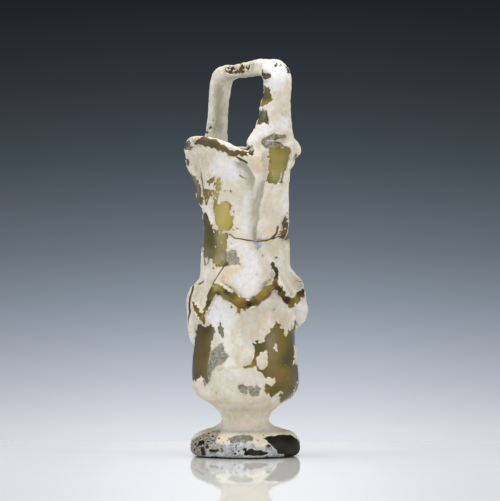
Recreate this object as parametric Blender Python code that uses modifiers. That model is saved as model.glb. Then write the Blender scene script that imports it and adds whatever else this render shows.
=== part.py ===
"""A stemmed glass kohl bottle with a basket handle, modelled in metres.

The bottle stands on a round pad foot at the origin, +Z up, and its front faces -Y.
It is one piece of glass, worked hot: a hollow tube on a solid stem and foot, two side
straps pressed onto the tube, a basket handle over the mouth, and a zigzag trail with lugs.
Azimuths are in degrees, 0 at the front (-Y) and growing towards +X.
"""
import math

import bpy
from mathutils import Vector

# Foot and stem
FOOT_RADIUS = 0.0193
FOOT_EDGE_UNDER = 0.0030
FOOT_WIDEST = 0.0029
FOOT_TOP = 0.0087
STEM_RADIUS = 0.0078
STEM_HEIGHT = 0.0130

# Hollow body: a round belly, a taper with the zigzag on it, and a straight tube
BELLY_RADIUS = 0.0185
BELLY_RISE = 0.0155
WAIST_RADIUS = 0.0169
WAIST_RISE = 0.0185
TAPER_LENGTH = 0.0310
TUBE_RADIUS = 0.0149
TUBE_LENGTH = 0.0205
WALL = 0.0021
FLOOR_THICKNESS = 0.0070

# Mouth: a short flare with a thick rounded lip, drawn up at the left and pressed down in front
FLARE_LENGTH = 0.0089
LIP_RADIUS = 0.0197
LIP_EDGE = 0.0016
LIP_RISE = 0.0029
LIP_RISE_AZIMUTH = -62.0
LIP_RISE_SPREAD = 50.0
LIP_DIP = 0.0039
LIP_DIP_AZIMUTH = 12.0
LIP_DIP_SPREAD = 27.0
MOUTH_SHIFT = -0.0010
DENT_DEPTH = 0.0011
DENT_DROP = 0.0074
DENT_AZIMUTH = 4.0
DENT_SPREAD = 15.0
DENT_HEIGHT = 0.0042

# Basket handle: a flat strap from the front right of the lip over to the back left
BASKET_AZIMUTH = 40.0
BASKET_RISE = 0.0316
BASKET_FRONT_INSET = 0.0028
BASKET_BACK_INSET = 0.0055
BASKET_FRONT_WIDTH = 0.0093
BASKET_BACK_WIDTH = 0.0068
BASKET_THICKNESS = 0.0047
BASKET_CORNER = 0.0044
BASKET_ROOT_DEPTH = 0.0035
BASKET_BAR_SAG = 0.0004
BASKET_BACK_LEAN = 0.0014

# Side straps from the lip down to the tube, solid ribs that stand out as far as the lip
STRAP_THICKNESS = 0.0026
STRAP_SINK = 0.0008
FRONT_STRAP_AZIMUTH = 36.0
FRONT_STRAP_WIDTH = 0.0100
FRONT_STRAP_LENGTH = 0.0309
FRONT_STRAP_SPREAD = 0.25
LEFT_STRAP_AZIMUTH = -92.0
LEFT_STRAP_WIDTH = 0.0076
LEFT_STRAP_LENGTH = 0.0189
LEFT_STRAP_SPREAD = 0.20

# Zigzag trail round the waist, with a tail drawn up from each peak and two long lugs
ZIGZAG_PEAKS = 6
ZIGZAG_FIRST_PEAK = 32.0
ZIGZAG_HEIGHT = 0.0570
ZIGZAG_SWING = 0.0036
ZIGZAG_SAG = 0.0042
ZIGZAG_SAG_AZIMUTH = -72.0
ZIGZAG_SAG_SPREAD = 34.0
TRAIL_RADIUS = 0.0015
TRAIL_VALLEY_PROUD = 0.0005
TRAIL_PEAK_PROUD = 0.0011
TAIL_LENGTH = 0.0080
LUG_AZIMUTHS = {"left": -86.0, "right": 88.0}
LUG_RISES = {"left": 0.0025, "right": -0.0010}
LUG_LENGTHS = {"left": 0.0215, "right": 0.0105}
LUG_PROUD = {"left": 0.0036, "right": 0.0047}
LUG_WIDTH = 0.0042
LUG_THICKNESS = 0.0052
LUG_SINK = 0.0006

# Heights that follow from the lengths above
BELLY_HEIGHT = STEM_HEIGHT + BELLY_RISE
WAIST_HEIGHT = BELLY_HEIGHT + WAIST_RISE
TUBE_START = WAIST_HEIGHT + TAPER_LENGTH
TUBE_END = TUBE_START + TUBE_LENGTH
LIP_HEIGHT = TUBE_END + FLARE_LENGTH

# Fineness of the mesh, and how much fuller than an ellipse a strap's section is
TURN_STEPS = 40
SECTION_SIDES = 10
TRAIL_POINTS_PER_PEAK = 9
SPAN_POINTS = 2
SECTION_POWER = 0.75


def clear_scene():
    for old in list(bpy.data.objects):
        bpy.data.objects.remove(old)


def collection(name, hidden):
    made = bpy.data.collections.new(name)
    made.hide_render = hidden
    bpy.context.scene.collection.children.link(made)
    return made


def smooth_step(t):
    t = min(1.0, max(0.0, t))
    return t * t * (3.0 - 2.0 * t)


def mix(a, b, share):
    return a + (b - a) * share


def bell(offset, spread):
    return math.exp(-((offset / spread) ** 2))


def bell_round(azimuth, middle, spread):
    """A bell over azimuths, which meets itself at the far side."""
    return bell((azimuth - middle + 180.0) % 360.0 - 180.0, spread)


def outwards(azimuth):
    """The level direction that an azimuth points in."""
    return Vector((math.sin(math.radians(azimuth)), -math.cos(math.radians(azimuth)), 0.0))


def smooth_through(points, per_span=SPAN_POINTS):
    """A Catmull-Rom curve through the points, each a tuple of any length."""
    padded = [points[0], *points, points[-1]]
    curve = []
    for a, b, c, d in zip(padded, padded[1:], padded[2:], padded[3:]):
        for step in range(per_span):
            t = step / per_span
            curve.append(tuple(
                0.5 * (2 * q + (r - p) * t + (2 * p - 5 * q + 4 * r - s) * t * t
                       + (3 * q - p - 3 * r + s) * t ** 3)
                for p, q, r, s in zip(a, b, c, d)
            ))
    curve.append(tuple(points[-1]))
    return curve


def elliptic_arc(middle, across, up, angles):
    """Points of an ellipse round its middle, at angles in degrees from the level outward direction."""
    return [
        (middle[0] + across * math.cos(math.radians(a)), middle[1] + up * math.sin(math.radians(a)))
        for a in angles
    ]


def foot_edge():
    """The foot's rounded edge, tight underneath and broad on top."""
    under = FOOT_EDGE_UNDER
    above = 1.9 * under
    return (
        elliptic_arc((FOOT_RADIUS - under, FOOT_WIDEST), under, FOOT_WIDEST, range(-90, 0, 22))
        + elliptic_arc((FOOT_RADIUS - above, FOOT_WIDEST), above, FOOT_TOP - FOOT_WIDEST, range(0, 61, 15))
    )


def body_stations():
    """Radius and height of the outside, from the foot's top up to the side of the lip."""
    foot = foot_edge()[-1]
    stem, stem_up = (STEM_RADIUS, STEM_HEIGHT)
    widen, rise = (BELLY_RADIUS - STEM_RADIUS, BELLY_HEIGHT - STEM_HEIGHT)
    flare, mouth = (LIP_RADIUS - TUBE_RADIUS, LIP_HEIGHT - TUBE_END)
    return [
        foot,
        (mix(foot[0], stem, 0.36), mix(foot[1], stem_up, 0.20)),
        (mix(foot[0], stem, 0.68), mix(foot[1], stem_up, 0.40)),
        (mix(foot[0], stem, 0.92), mix(foot[1], stem_up, 0.72)),
        (stem, stem_up),
        (stem + 0.05 * widen, stem_up + 0.10 * rise),
        (stem + 0.15 * widen, stem_up + 0.21 * rise),
        (stem + 0.47 * widen, stem_up + 0.37 * rise),
        (stem + 0.76 * widen, stem_up + 0.49 * rise),
        (stem + 0.94 * widen, stem_up + 0.68 * rise),
        (BELLY_RADIUS, BELLY_HEIGHT),
        (mix(BELLY_RADIUS, WAIST_RADIUS, 0.36), mix(BELLY_HEIGHT, WAIST_HEIGHT, 0.55)),
        (WAIST_RADIUS, WAIST_HEIGHT),
        (mix(WAIST_RADIUS, TUBE_RADIUS, 0.38), mix(WAIST_HEIGHT, TUBE_START, 0.36)),
        (mix(WAIST_RADIUS, TUBE_RADIUS, 0.76), mix(WAIST_HEIGHT, TUBE_START, 0.70)),
        (TUBE_RADIUS, TUBE_START),
        (TUBE_RADIUS, mix(TUBE_START, TUBE_END, 0.55)),
        (TUBE_RADIUS + 0.05 * flare, TUBE_END),
        (TUBE_RADIUS + 0.33 * flare, TUBE_END + 0.52 * mouth),
        (TUBE_RADIUS + 0.64 * flare, TUBE_END + 0.80 * mouth),
        (LIP_RADIUS, LIP_HEIGHT),
    ]


def radius_at(height):
    """The outside radius of the turned body at a height between the stem and the lip."""
    curve = [p for p in smooth_through(body_stations()) if p[1] >= STEM_HEIGHT]
    for (r0, z0), (r1, z1) in zip(curve, curve[1:]):
        if z0 <= height <= z1:
            return mix(r0, r1, (height - z0) / (z1 - z0))
    return curve[-1][0]


def inside_curve():
    """The inside, from under the lip down to the middle of the rounded floor."""
    floor = STEM_HEIGHT + FLOOR_THICKNESS
    walls = [(r - WALL, z) for r, z in body_stations() if BELLY_HEIGHT <= z < LIP_HEIGHT - LIP_EDGE]
    bowl = elliptic_arc((0.0, BELLY_HEIGHT), walls[0][0], BELLY_HEIGHT - floor, range(-15, -91, -15))
    return walls[::-1] + [(max(r, 0.0), z) for r, z in bowl]


def body_section():
    """The half section: from the axis underneath, up the outside, over the lip and down the inside."""
    lip = elliptic_arc((LIP_RADIUS - LIP_EDGE, LIP_HEIGHT), LIP_EDGE, LIP_EDGE, range(30, 211, 30))
    return [(0.0, 0.0)] + foot_edge()[:-1] + smooth_through(body_stations()) + lip + inside_curve()


def hand_worked(point):
    """Where the hot glass really went: the lip rises, dips and leans, and the tube is dented in front."""
    radius = math.hypot(point.x, point.y)
    azimuth = math.degrees(math.atan2(point.x, -point.y))
    near_lip = smooth_step((point.z - TUBE_END) / (LIP_HEIGHT - TUBE_END))
    lift = (
        LIP_RISE * bell_round(azimuth, LIP_RISE_AZIMUTH, LIP_RISE_SPREAD)
        - LIP_DIP * bell_round(azimuth, LIP_DIP_AZIMUTH, LIP_DIP_SPREAD)
    )
    beside_dent = bell_round(azimuth, DENT_AZIMUTH, DENT_SPREAD)
    dent = DENT_DEPTH * beside_dent * bell(point.z - (LIP_HEIGHT - DENT_DROP), DENT_HEIGHT)
    scale = (radius - dent) / radius if radius > WALL else 1.0
    return Vector((point.x * scale + MOUTH_SHIFT * near_lip, point.y * scale, point.z + lift * near_lip))


def as_mesh(source, name, into):
    """The source as its modifiers make it, as a new mesh object."""
    graph = bpy.context.evaluated_depsgraph_get()
    mesh = bpy.data.meshes.new_from_object(source.evaluated_get(graph))
    made = bpy.data.objects.new(name, mesh)
    made.matrix_world = source.matrix_world
    into.objects.link(made)
    bpy.data.objects.remove(source)
    return made


def make_body(into):
    """The turned body: a half section spun by a Screw modifier, made a mesh and then worked by hand."""
    section = body_section()
    mesh = bpy.data.meshes.new("body section")
    edges = [(i, i + 1) for i in range(len(section) - 1)]
    mesh.from_pydata([(r, 0.0, z) for r, z in section], edges, [])
    turned = bpy.data.objects.new("turned body", mesh)
    into.objects.link(turned)
    screw = turned.modifiers.new("Screw", "SCREW")
    screw.steps = screw.render_steps = TURN_STEPS
    screw.use_merge_vertices = True
    screw.merge_threshold = 0.00005
    screw.use_normal_calculate = True
    made = as_mesh(turned, "kohl_bottle", into)
    for vertex in made.data.vertices:
        vertex.co = hand_worked(vertex.co)
    return made


def rounded(share):
    """A cosine or sine pushed outwards, so that a strap's section is fuller than an ellipse."""
    return math.copysign(abs(share) ** SECTION_POWER, share)


def strap(name, azimuth, stations, into):
    """A flat strap in the azimuth's plane. A station is its reach, height, width and thickness."""
    route = smooth_through(stations)
    out = outwards(azimuth)
    across = outwards(azimuth + 90.0)
    middles = [out * reach + Vector((0.0, 0.0, height)) for reach, height, _, _ in route]
    last = len(route) - 1
    points, faces = [], []
    for i, (_, _, width, thickness) in enumerate(route):
        along = (middles[min(i + 1, last)] - middles[max(i - 1, 0)]).normalized()
        through = along.cross(across).normalized()
        for k in range(SECTION_SIDES):
            turn = 2 * math.pi * k / SECTION_SIDES
            points.append(
                middles[i]
                + across * (rounded(math.cos(turn)) * width / 2)
                + through * (rounded(math.sin(turn)) * thickness / 2)
            )
    for i in range(last):
        near, far = (i * SECTION_SIDES, (i + 1) * SECTION_SIDES)
        for k in range(SECTION_SIDES):
            beside = (k + 1) % SECTION_SIDES
            faces.append((near + k, near + beside, far + beside, far + k))
    faces.append(tuple(reversed(range(SECTION_SIDES))))
    faces.append(tuple(last * SECTION_SIDES + k for k in range(SECTION_SIDES)))
    mesh = bpy.data.meshes.new(name)
    mesh.from_pydata(points, [], faces)
    made = bpy.data.objects.new(name, mesh)
    into.objects.link(made)
    return made


def make_basket_handle(into):
    """The handle over the mouth: a broad limb at the front, a level bar and a slimmer limb behind."""
    bar = LIP_HEIGHT + BASKET_RISE - BASKET_THICKNESS / 2
    front, back = (LIP_RADIUS - BASKET_FRONT_INSET, LIP_RADIUS - BASKET_BACK_INSET)
    wide, slim, thick = (BASKET_FRONT_WIDTH, BASKET_BACK_WIDTH, BASKET_THICKNESS)
    corner, sag, lean = (BASKET_CORNER, BASKET_BAR_SAG, BASKET_BACK_LEAN)
    limb = bar - LIP_HEIGHT
    return strap("basket handle", BASKET_AZIMUTH, [
        (front, LIP_HEIGHT - BASKET_ROOT_DEPTH, wide * 1.60, thick * 1.15),
        (front, LIP_HEIGHT + 0.10 * limb, wide * 1.60, thick * 1.15),
        (front, LIP_HEIGHT + 0.34 * limb, wide * 1.16, thick),
        (front, LIP_HEIGHT + 0.60 * limb, wide, thick),
        (front, bar - corner, wide, thick),
        (front - 0.29 * corner, bar - 0.29 * corner, wide * 1.02, thick * 1.05),
        (front - corner, bar, wide * 1.02, thick),
        (0.25 * front, bar, wide * 0.84, thick * 0.94),
        (-0.35 * back, bar - sag, slim * 1.08, thick * 0.88),
        (-back + corner, bar - 0.5 * sag, slim * 1.05, thick * 0.92),
        (-back + 0.29 * corner, bar - 0.29 * corner, slim * 1.02, thick * 0.92),
        (-back, bar - corner, slim, thick * 0.80),
        (-back, LIP_HEIGHT + 0.50 * limb, slim * 0.96, thick * 0.78),
        (-back - 0.3 * lean, LIP_HEIGHT + 0.22 * limb, slim * 1.04, thick * 0.84),
        (-back - lean, LIP_HEIGHT + 0.02 * limb, slim * 1.25, thick),
        (-back - 0.9 * lean, LIP_HEIGHT - BASKET_ROOT_DEPTH, slim * 1.20, thick * 0.60),
    ], into)


def side_strap(name, azimuth, width, length, spread, into):
    """A solid rib from the lip down to the tube: pressed flat at its foot, standing out under the lip."""
    foot = LIP_HEIGHT - length

    def station(share, stand, width_share):
        """stand is 0 for a strap that lies on the tube and 1 for one that reaches out as far as the lip."""
        height = foot + share * length
        inner = radius_at(height) - STRAP_SINK
        outer = mix(inner + STRAP_THICKNESS, LIP_RADIUS, stand)
        return ((inner + outer) / 2, height, width * width_share, outer - inner)

    rib = strap(name, azimuth, [
        station(0.00, -0.40, 0.80),
        station(0.10, 0.00, 1.02),
        station(0.30, 0.10, 0.98),
        station(0.50, 0.55, 0.98),
        station(0.68, 0.95, 1.00),
        station(0.84, 1.00, 1.00 + 0.60 * spread),
        station(1.02, 0.40, 1.00 + spread),
    ], into)
    for vertex in rib.data.vertices:
        vertex.co = hand_worked(vertex.co)
    return rib


def zigzag(azimuth):
    """0 at a valley of the zigzag and 1 at a peak, with the turns a little rounded."""
    share = (azimuth - ZIGZAG_FIRST_PEAK) / (360.0 / ZIGZAG_PEAKS) % 1.0
    to_peak = abs(2.0 * share - 1.0)
    return mix(to_peak, smooth_step(to_peak), 0.5)


def trail_height(azimuth):
    sag = ZIGZAG_SAG * bell_round(azimuth, ZIGZAG_SAG_AZIMUTH, ZIGZAG_SAG_SPREAD)
    return ZIGZAG_HEIGHT + ZIGZAG_SWING * (2.0 * zigzag(azimuth) - 1.0) - sag


def make_zigzag_trail(into):
    """One thread of glass laid round the waist in a zigzag, standing further off at its peaks."""
    curve = bpy.data.curves.new("zigzag trail", "CURVE")
    curve.dimensions = "3D"
    curve.bevel_depth = TRAIL_RADIUS
    curve.bevel_resolution = 2
    count = ZIGZAG_PEAKS * TRAIL_POINTS_PER_PEAK
    spline = curve.splines.new("POLY")
    spline.points.add(count - 1)
    spline.use_cyclic_u = True
    for i, point in enumerate(spline.points):
        azimuth = 360.0 * i / count
        height = trail_height(azimuth)
        proud = mix(TRAIL_VALLEY_PROUD, TRAIL_PEAK_PROUD, zigzag(azimuth))
        place = outwards(azimuth) * (radius_at(height) + proud)
        point.co = (place.x, place.y, height, 1.0)
    thread = bpy.data.objects.new("zigzag thread", curve)
    into.objects.link(thread)
    return as_mesh(thread, "zigzag trail", into)


def make_tail(name, azimuth, into):
    """The ridge drawn up from a peak of the zigzag onto the tube."""
    peak = trail_height(azimuth)
    width = 1.6 * TRAIL_RADIUS

    def station(share, proud, size):
        height = peak + share * TAIL_LENGTH
        return (radius_at(height) + proud * TRAIL_PEAK_PROUD, height, size * width, size * 1.3 * width)

    return strap(name, azimuth, [
        station(-0.15, 0.60, 1.00),
        station(0.10, 0.60, 1.00),
        station(0.50, 0.15, 0.90),
        station(1.00, -0.60, 0.60),
    ], into)


def make_lug(side, into):
    """A long drop of glass that hangs from the zigzag and stands out at the bottle's side."""
    top, length = (ZIGZAG_HEIGHT + LUG_RISES[side], LUG_LENGTHS[side])
    reach = WAIST_RADIUS + LUG_PROUD[side]

    def station(down, off, width_share, thick_share):
        """off is 0 where the lug's middle lies on the body's surface and 1 where it stands out most."""
        height = top - down * length
        middle = mix(radius_at(height) - LUG_SINK, reach - LUG_THICKNESS / 2, off)
        return (middle, height, LUG_WIDTH * width_share, LUG_THICKNESS * thick_share)

    return strap(side + " lug", LUG_AZIMUTHS[side], [
        station(-0.20, 0.20, 0.60, 0.80),
        station(0.08, 0.85, 0.95, 1.00),
        station(0.35, 1.00, 1.00, 1.00),
        station(0.62, 0.95, 0.95, 1.00),
        station(0.85, 0.50, 0.75, 0.85),
        station(1.00, 0.00, 0.45, 0.55),
    ], into)


def glass_material():
    made = bpy.data.materials.new("weathered olive glass")
    made.use_nodes = True
    shader = made.node_tree.nodes["Principled BSDF"]
    shader.inputs["Base Color"].default_value = (0.68, 0.62, 0.50, 1.0)
    shader.inputs["Roughness"].default_value = 0.45
    shader.inputs["Metallic"].default_value = 0.0
    return made


def main():
    clear_scene()
    shown = collection("glass kohl bottle", hidden=False)
    applied = collection("glass laid on the body", hidden=True)
    bottle = make_body(shown)
    make_basket_handle(applied)
    side_strap(
        "front strap", FRONT_STRAP_AZIMUTH, FRONT_STRAP_WIDTH, FRONT_STRAP_LENGTH, FRONT_STRAP_SPREAD, applied
    )
    side_strap(
        "left strap", LEFT_STRAP_AZIMUTH, LEFT_STRAP_WIDTH, LEFT_STRAP_LENGTH, LEFT_STRAP_SPREAD, applied
    )
    make_zigzag_trail(applied)
    for i in range(ZIGZAG_PEAKS):
        make_tail(f"tail {i + 1}", ZIGZAG_FIRST_PEAK + 360.0 * i / ZIGZAG_PEAKS, applied)
    for side in LUG_AZIMUTHS:
        make_lug(side, applied)
    for piece in applied.objects:
        piece.hide_render = True
        piece.display_type = "WIRE"
    fuse = bottle.modifiers.new("Fused glass", "BOOLEAN")
    fuse.operation = "UNION"
    fuse.operand_type = "COLLECTION"
    fuse.collection = applied
    bottle.data.materials.clear()
    bottle.data.materials.append(glass_material())
    bottle.data.shade_smooth()
    bottle.data.set_sharp_from_angle(angle=math.radians(35.0))


main()
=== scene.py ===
"""The looks of a weathered glass kohl bottle: olive glass under a flaking chalky crust, in a studio.

The bottle is worked out as a signed distance, in millimetres, from its sizes, and meshed from that.
The crust lies on the glass as closed shells, with windows where it has flaked off. Windows, cracks
and stains of the front are outlined in pixels of the photograph and thrown onto the bottle along
the photograph's line of sight, and so are painted highlights on lit faces and painted shade in
hollows and creases. Elsewhere they come from seeded noise.
"""
import math
from types import SimpleNamespace

import bpy
import numpy as np
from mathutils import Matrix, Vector


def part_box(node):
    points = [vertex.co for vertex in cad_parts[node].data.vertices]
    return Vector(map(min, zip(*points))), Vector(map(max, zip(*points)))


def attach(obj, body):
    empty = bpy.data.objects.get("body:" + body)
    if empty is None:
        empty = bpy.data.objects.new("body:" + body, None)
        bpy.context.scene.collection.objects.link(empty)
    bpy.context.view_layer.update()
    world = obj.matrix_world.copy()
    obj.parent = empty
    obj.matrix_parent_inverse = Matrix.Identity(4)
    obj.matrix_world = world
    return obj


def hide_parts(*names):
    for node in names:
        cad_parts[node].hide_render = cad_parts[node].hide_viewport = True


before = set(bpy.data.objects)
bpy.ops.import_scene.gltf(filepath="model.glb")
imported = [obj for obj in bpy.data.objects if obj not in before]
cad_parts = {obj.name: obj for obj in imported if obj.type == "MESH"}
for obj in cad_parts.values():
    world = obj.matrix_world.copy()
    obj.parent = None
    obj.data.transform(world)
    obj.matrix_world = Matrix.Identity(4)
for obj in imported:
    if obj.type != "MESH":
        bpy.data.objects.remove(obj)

bl_info = {
    "name": "Weathered glass kohl bottle",
    "version": (1, 0, 0),
    "blender": (4, 5, 0),
    "location": "3D View > Sidebar > Kohl bottle",
    "description": "Models the bottle's glass, its weathering crust and a plain studio",
    "category": "Add Mesh",
}

NODE = "kohl_bottle"
BODY = "root"
LOWEST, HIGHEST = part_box(NODE)
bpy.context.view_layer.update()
TO_MM = 1000.0
FULL_TURN = 2.0 * math.pi

# How the photograph sees the bottle: pixels of its 500 by 501 frame, and millimetres
PHOTO_WIDTH = 500.0
PHOTO_HEIGHT = 501.0
PHOTO_AXIS_U = 245.3
PHOTO_FOCUS = 3414.7
PHOTO_DISTANCE = 1200.0
PHOTO_EYE = 72.2
PIXEL = PHOTO_DISTANCE / PHOTO_FOCUS

# Directions round the bottle, in degrees: 0 at the front and growing towards +X
BASKET_AZIMUTH = 40.0
FRONT_STRAP_AZIMUTH = 37.0
LEFT_STRAP_AZIMUTH = -92.0
LIP_RISE_AZIMUTH, LIP_RISE_SPREAD = (-62.0, 50.0)
LIP_DIP_AZIMUTH, LIP_DIP_SPREAD = (12.0, 27.0)
ZIGZAG_PEAKS = 6
ZIGZAG_FIRST_PEAK = 32.0
ZIGZAG_SAG_AZIMUTH, ZIGZAG_SAG_SPREAD = (-72.0, 34.0)

# How far each part's fillet to the glass reaches, in millimetres
FILLETS = {
    "front strap": 1.0, "left strap": 1.4, "thread": 0.8, "front ridges": 1.6, "side ridges": 2.4,
    "basket": 2.2, "root web": 4.5, "ledge": 0.9, "leaf": 0.7,
}

# How round the sides of the straps and of the handle are, as a share of their thickness
STRAP_ROUNDING = 0.42
BASKET_ROUNDING = 0.36

# Degrees between the places of the thread round the back
THREAD_STEP = 6.0

# The tail drawn up from each peak round the back: height over the peak, standing off and radius
TAIL = ((-1.0, 0.9, 1.7), (2.5, 0.6, 1.5), (6.0, -0.2, 1.1), (10.0, -1.0, 0.8))

# How far round from the front the first tail may be, in degrees
TAILS_START = 95.0

# Seeds of the noise, one for each use
SEEDS = {
    "form": 11, "hammer": 12, "edge": 21, "ragged": 22, "flake": 31, "speck": 32, "flecks": 33, "layer": 41,
    "thickness": 42, "lump": 43, "pale": 51, "stain": 52, "soil": 53, "film": 54, "lining": 61,
}

# The thread as it lies across the front, in pixels, from the left lug to the right one
FRONT_TRAIL = [
    (196, 304), (199, 312), (202, 317), (206, 309), (209, 301), (214, 290), (218, 287), (224, 291),
    (231, 295), (237, 300), (245, 304), (252, 304), (260, 297), (268, 290), (276, 284), (281, 290),
    (286, 298), (291, 303), (297, 299), (301, 292),
]

# Glass drawn up from the thread, webs and folds: pixels, how far it stands off, and radius in millimetres
FRONT_RIDGES = {
    "left peak": [(215, 288, 1.0, 1.2), (219, 276, 0.2, 1.0), (224, 266, -0.5, 0.8)],
    "right peak": [(276, 286, 1.3, 1.5), (277, 276, 1.0, 1.2), (273, 265, 0.4, 0.9), (270, 258, -0.5, 0.6)],
    "lip fold": [(240, 157.5, 0.2, 0.6), (248.5, 161.5, 0.9, 0.6), (253.5, 167, 1.0, 0.6),
                 (257.5, 174, 0.9, 0.6), (258, 183, 0.3, 0.7), (256, 196, -0.5, 0.6)],
    "waist fold": [(262, 295, 0.0, 0.7), (276, 300, 0.2, 0.8), (288, 309, -0.1, 0.7)],
}

# The same at the sides, as x, y, z and radius in millimetres
SIDE_RIDGES = {
    "left ear": [(-16.2, -1.0, 60.6, 0.8), (-17.8, -1.0, 58.8, 1.0), (-18.5, -1.0, 56.5, 1.2),
                 (-18.9, -0.8, 51.0, 1.3), (-18.9, -0.5, 45.5, 1.2), (-18.6, -0.5, 42.8, 0.9),
                 (-17.5, -0.5, 40.6, 0.7)],
    "left fill": [(-16.8, -1.2, 57.5, 1.2), (-17.5, -0.8, 52.0, 1.3), (-17.7, -0.6, 45.0, 1.2),
                  (-17.4, -0.5, 42.0, 0.8)],
    "right ear": [(14.6, -3.6, 66.0, 0.6), (19.1, -3.0, 61.4, 0.8), (19.3, -3.0, 58.8, 1.1),
                  (19.5, -2.5, 55.3, 1.4), (20.1, -2.0, 51.5, 1.5), (19.6, -2.0, 48.3, 1.1),
                  (17.8, -2.0, 46.0, 0.7)],
    "right fill": [(14.6, -2.0, 64.0, 0.9), (17.2, -1.8, 61.0, 1.1), (18.0, -2.0, 57.5, 1.3),
                   (18.4, -2.0, 51.0, 1.2)],
    "right web": [(13.6, -7.5, 62.0, 0.6), (16.2, -6.4, 58.5, 0.8), (17.6, -5.0, 55.0, 1.0)],
    "left knob": [(-18.9, -2.5, 107.4, 1.2), (-19.2, 0.3, 108.2, 1.4), (-18.4, 2.4, 107.6, 1.2)],
    "left bulge": [(-18.9, -1.5, 103.7, 1.1), (-18.7, 1.0, 102.8, 1.2)],
    "right bulge": [(15.2, -8.8, 111.4, 1.2), (16.8, -7.4, 108.8, 1.5), (17.5, -7.0, 107.2, 1.55),
                    (15.9, -7.4, 104.2, 1.0), (15.2, -7.6, 102.6, 0.7)],
}

# Sheets folded over and webs that spread from the basket handle's front root: pixels, depth, radius
LEDGE = [(265, 144, -16.6, 0.8), (270, 146, -17.8, 1.0), (280, 146, -17.0, 1.0), (290, 146, -13.8, 1.0)]
LEDGE_LEAF = [
    (264, 142, -16.8, 0.8), (271, 139, -17.7, 0.8), (277, 135, -17.2, 0.8), (285, 137, -15.0, 0.6),
]
ROOT_WEB = [
    (268, 104, -14.4, 1.2), (265, 118, -15.0, 1.4), (260, 131, -15.6, 1.5), (253, 143, -16.0, 1.8),
    (254, 153, -16.2, 1.5),
]

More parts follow.
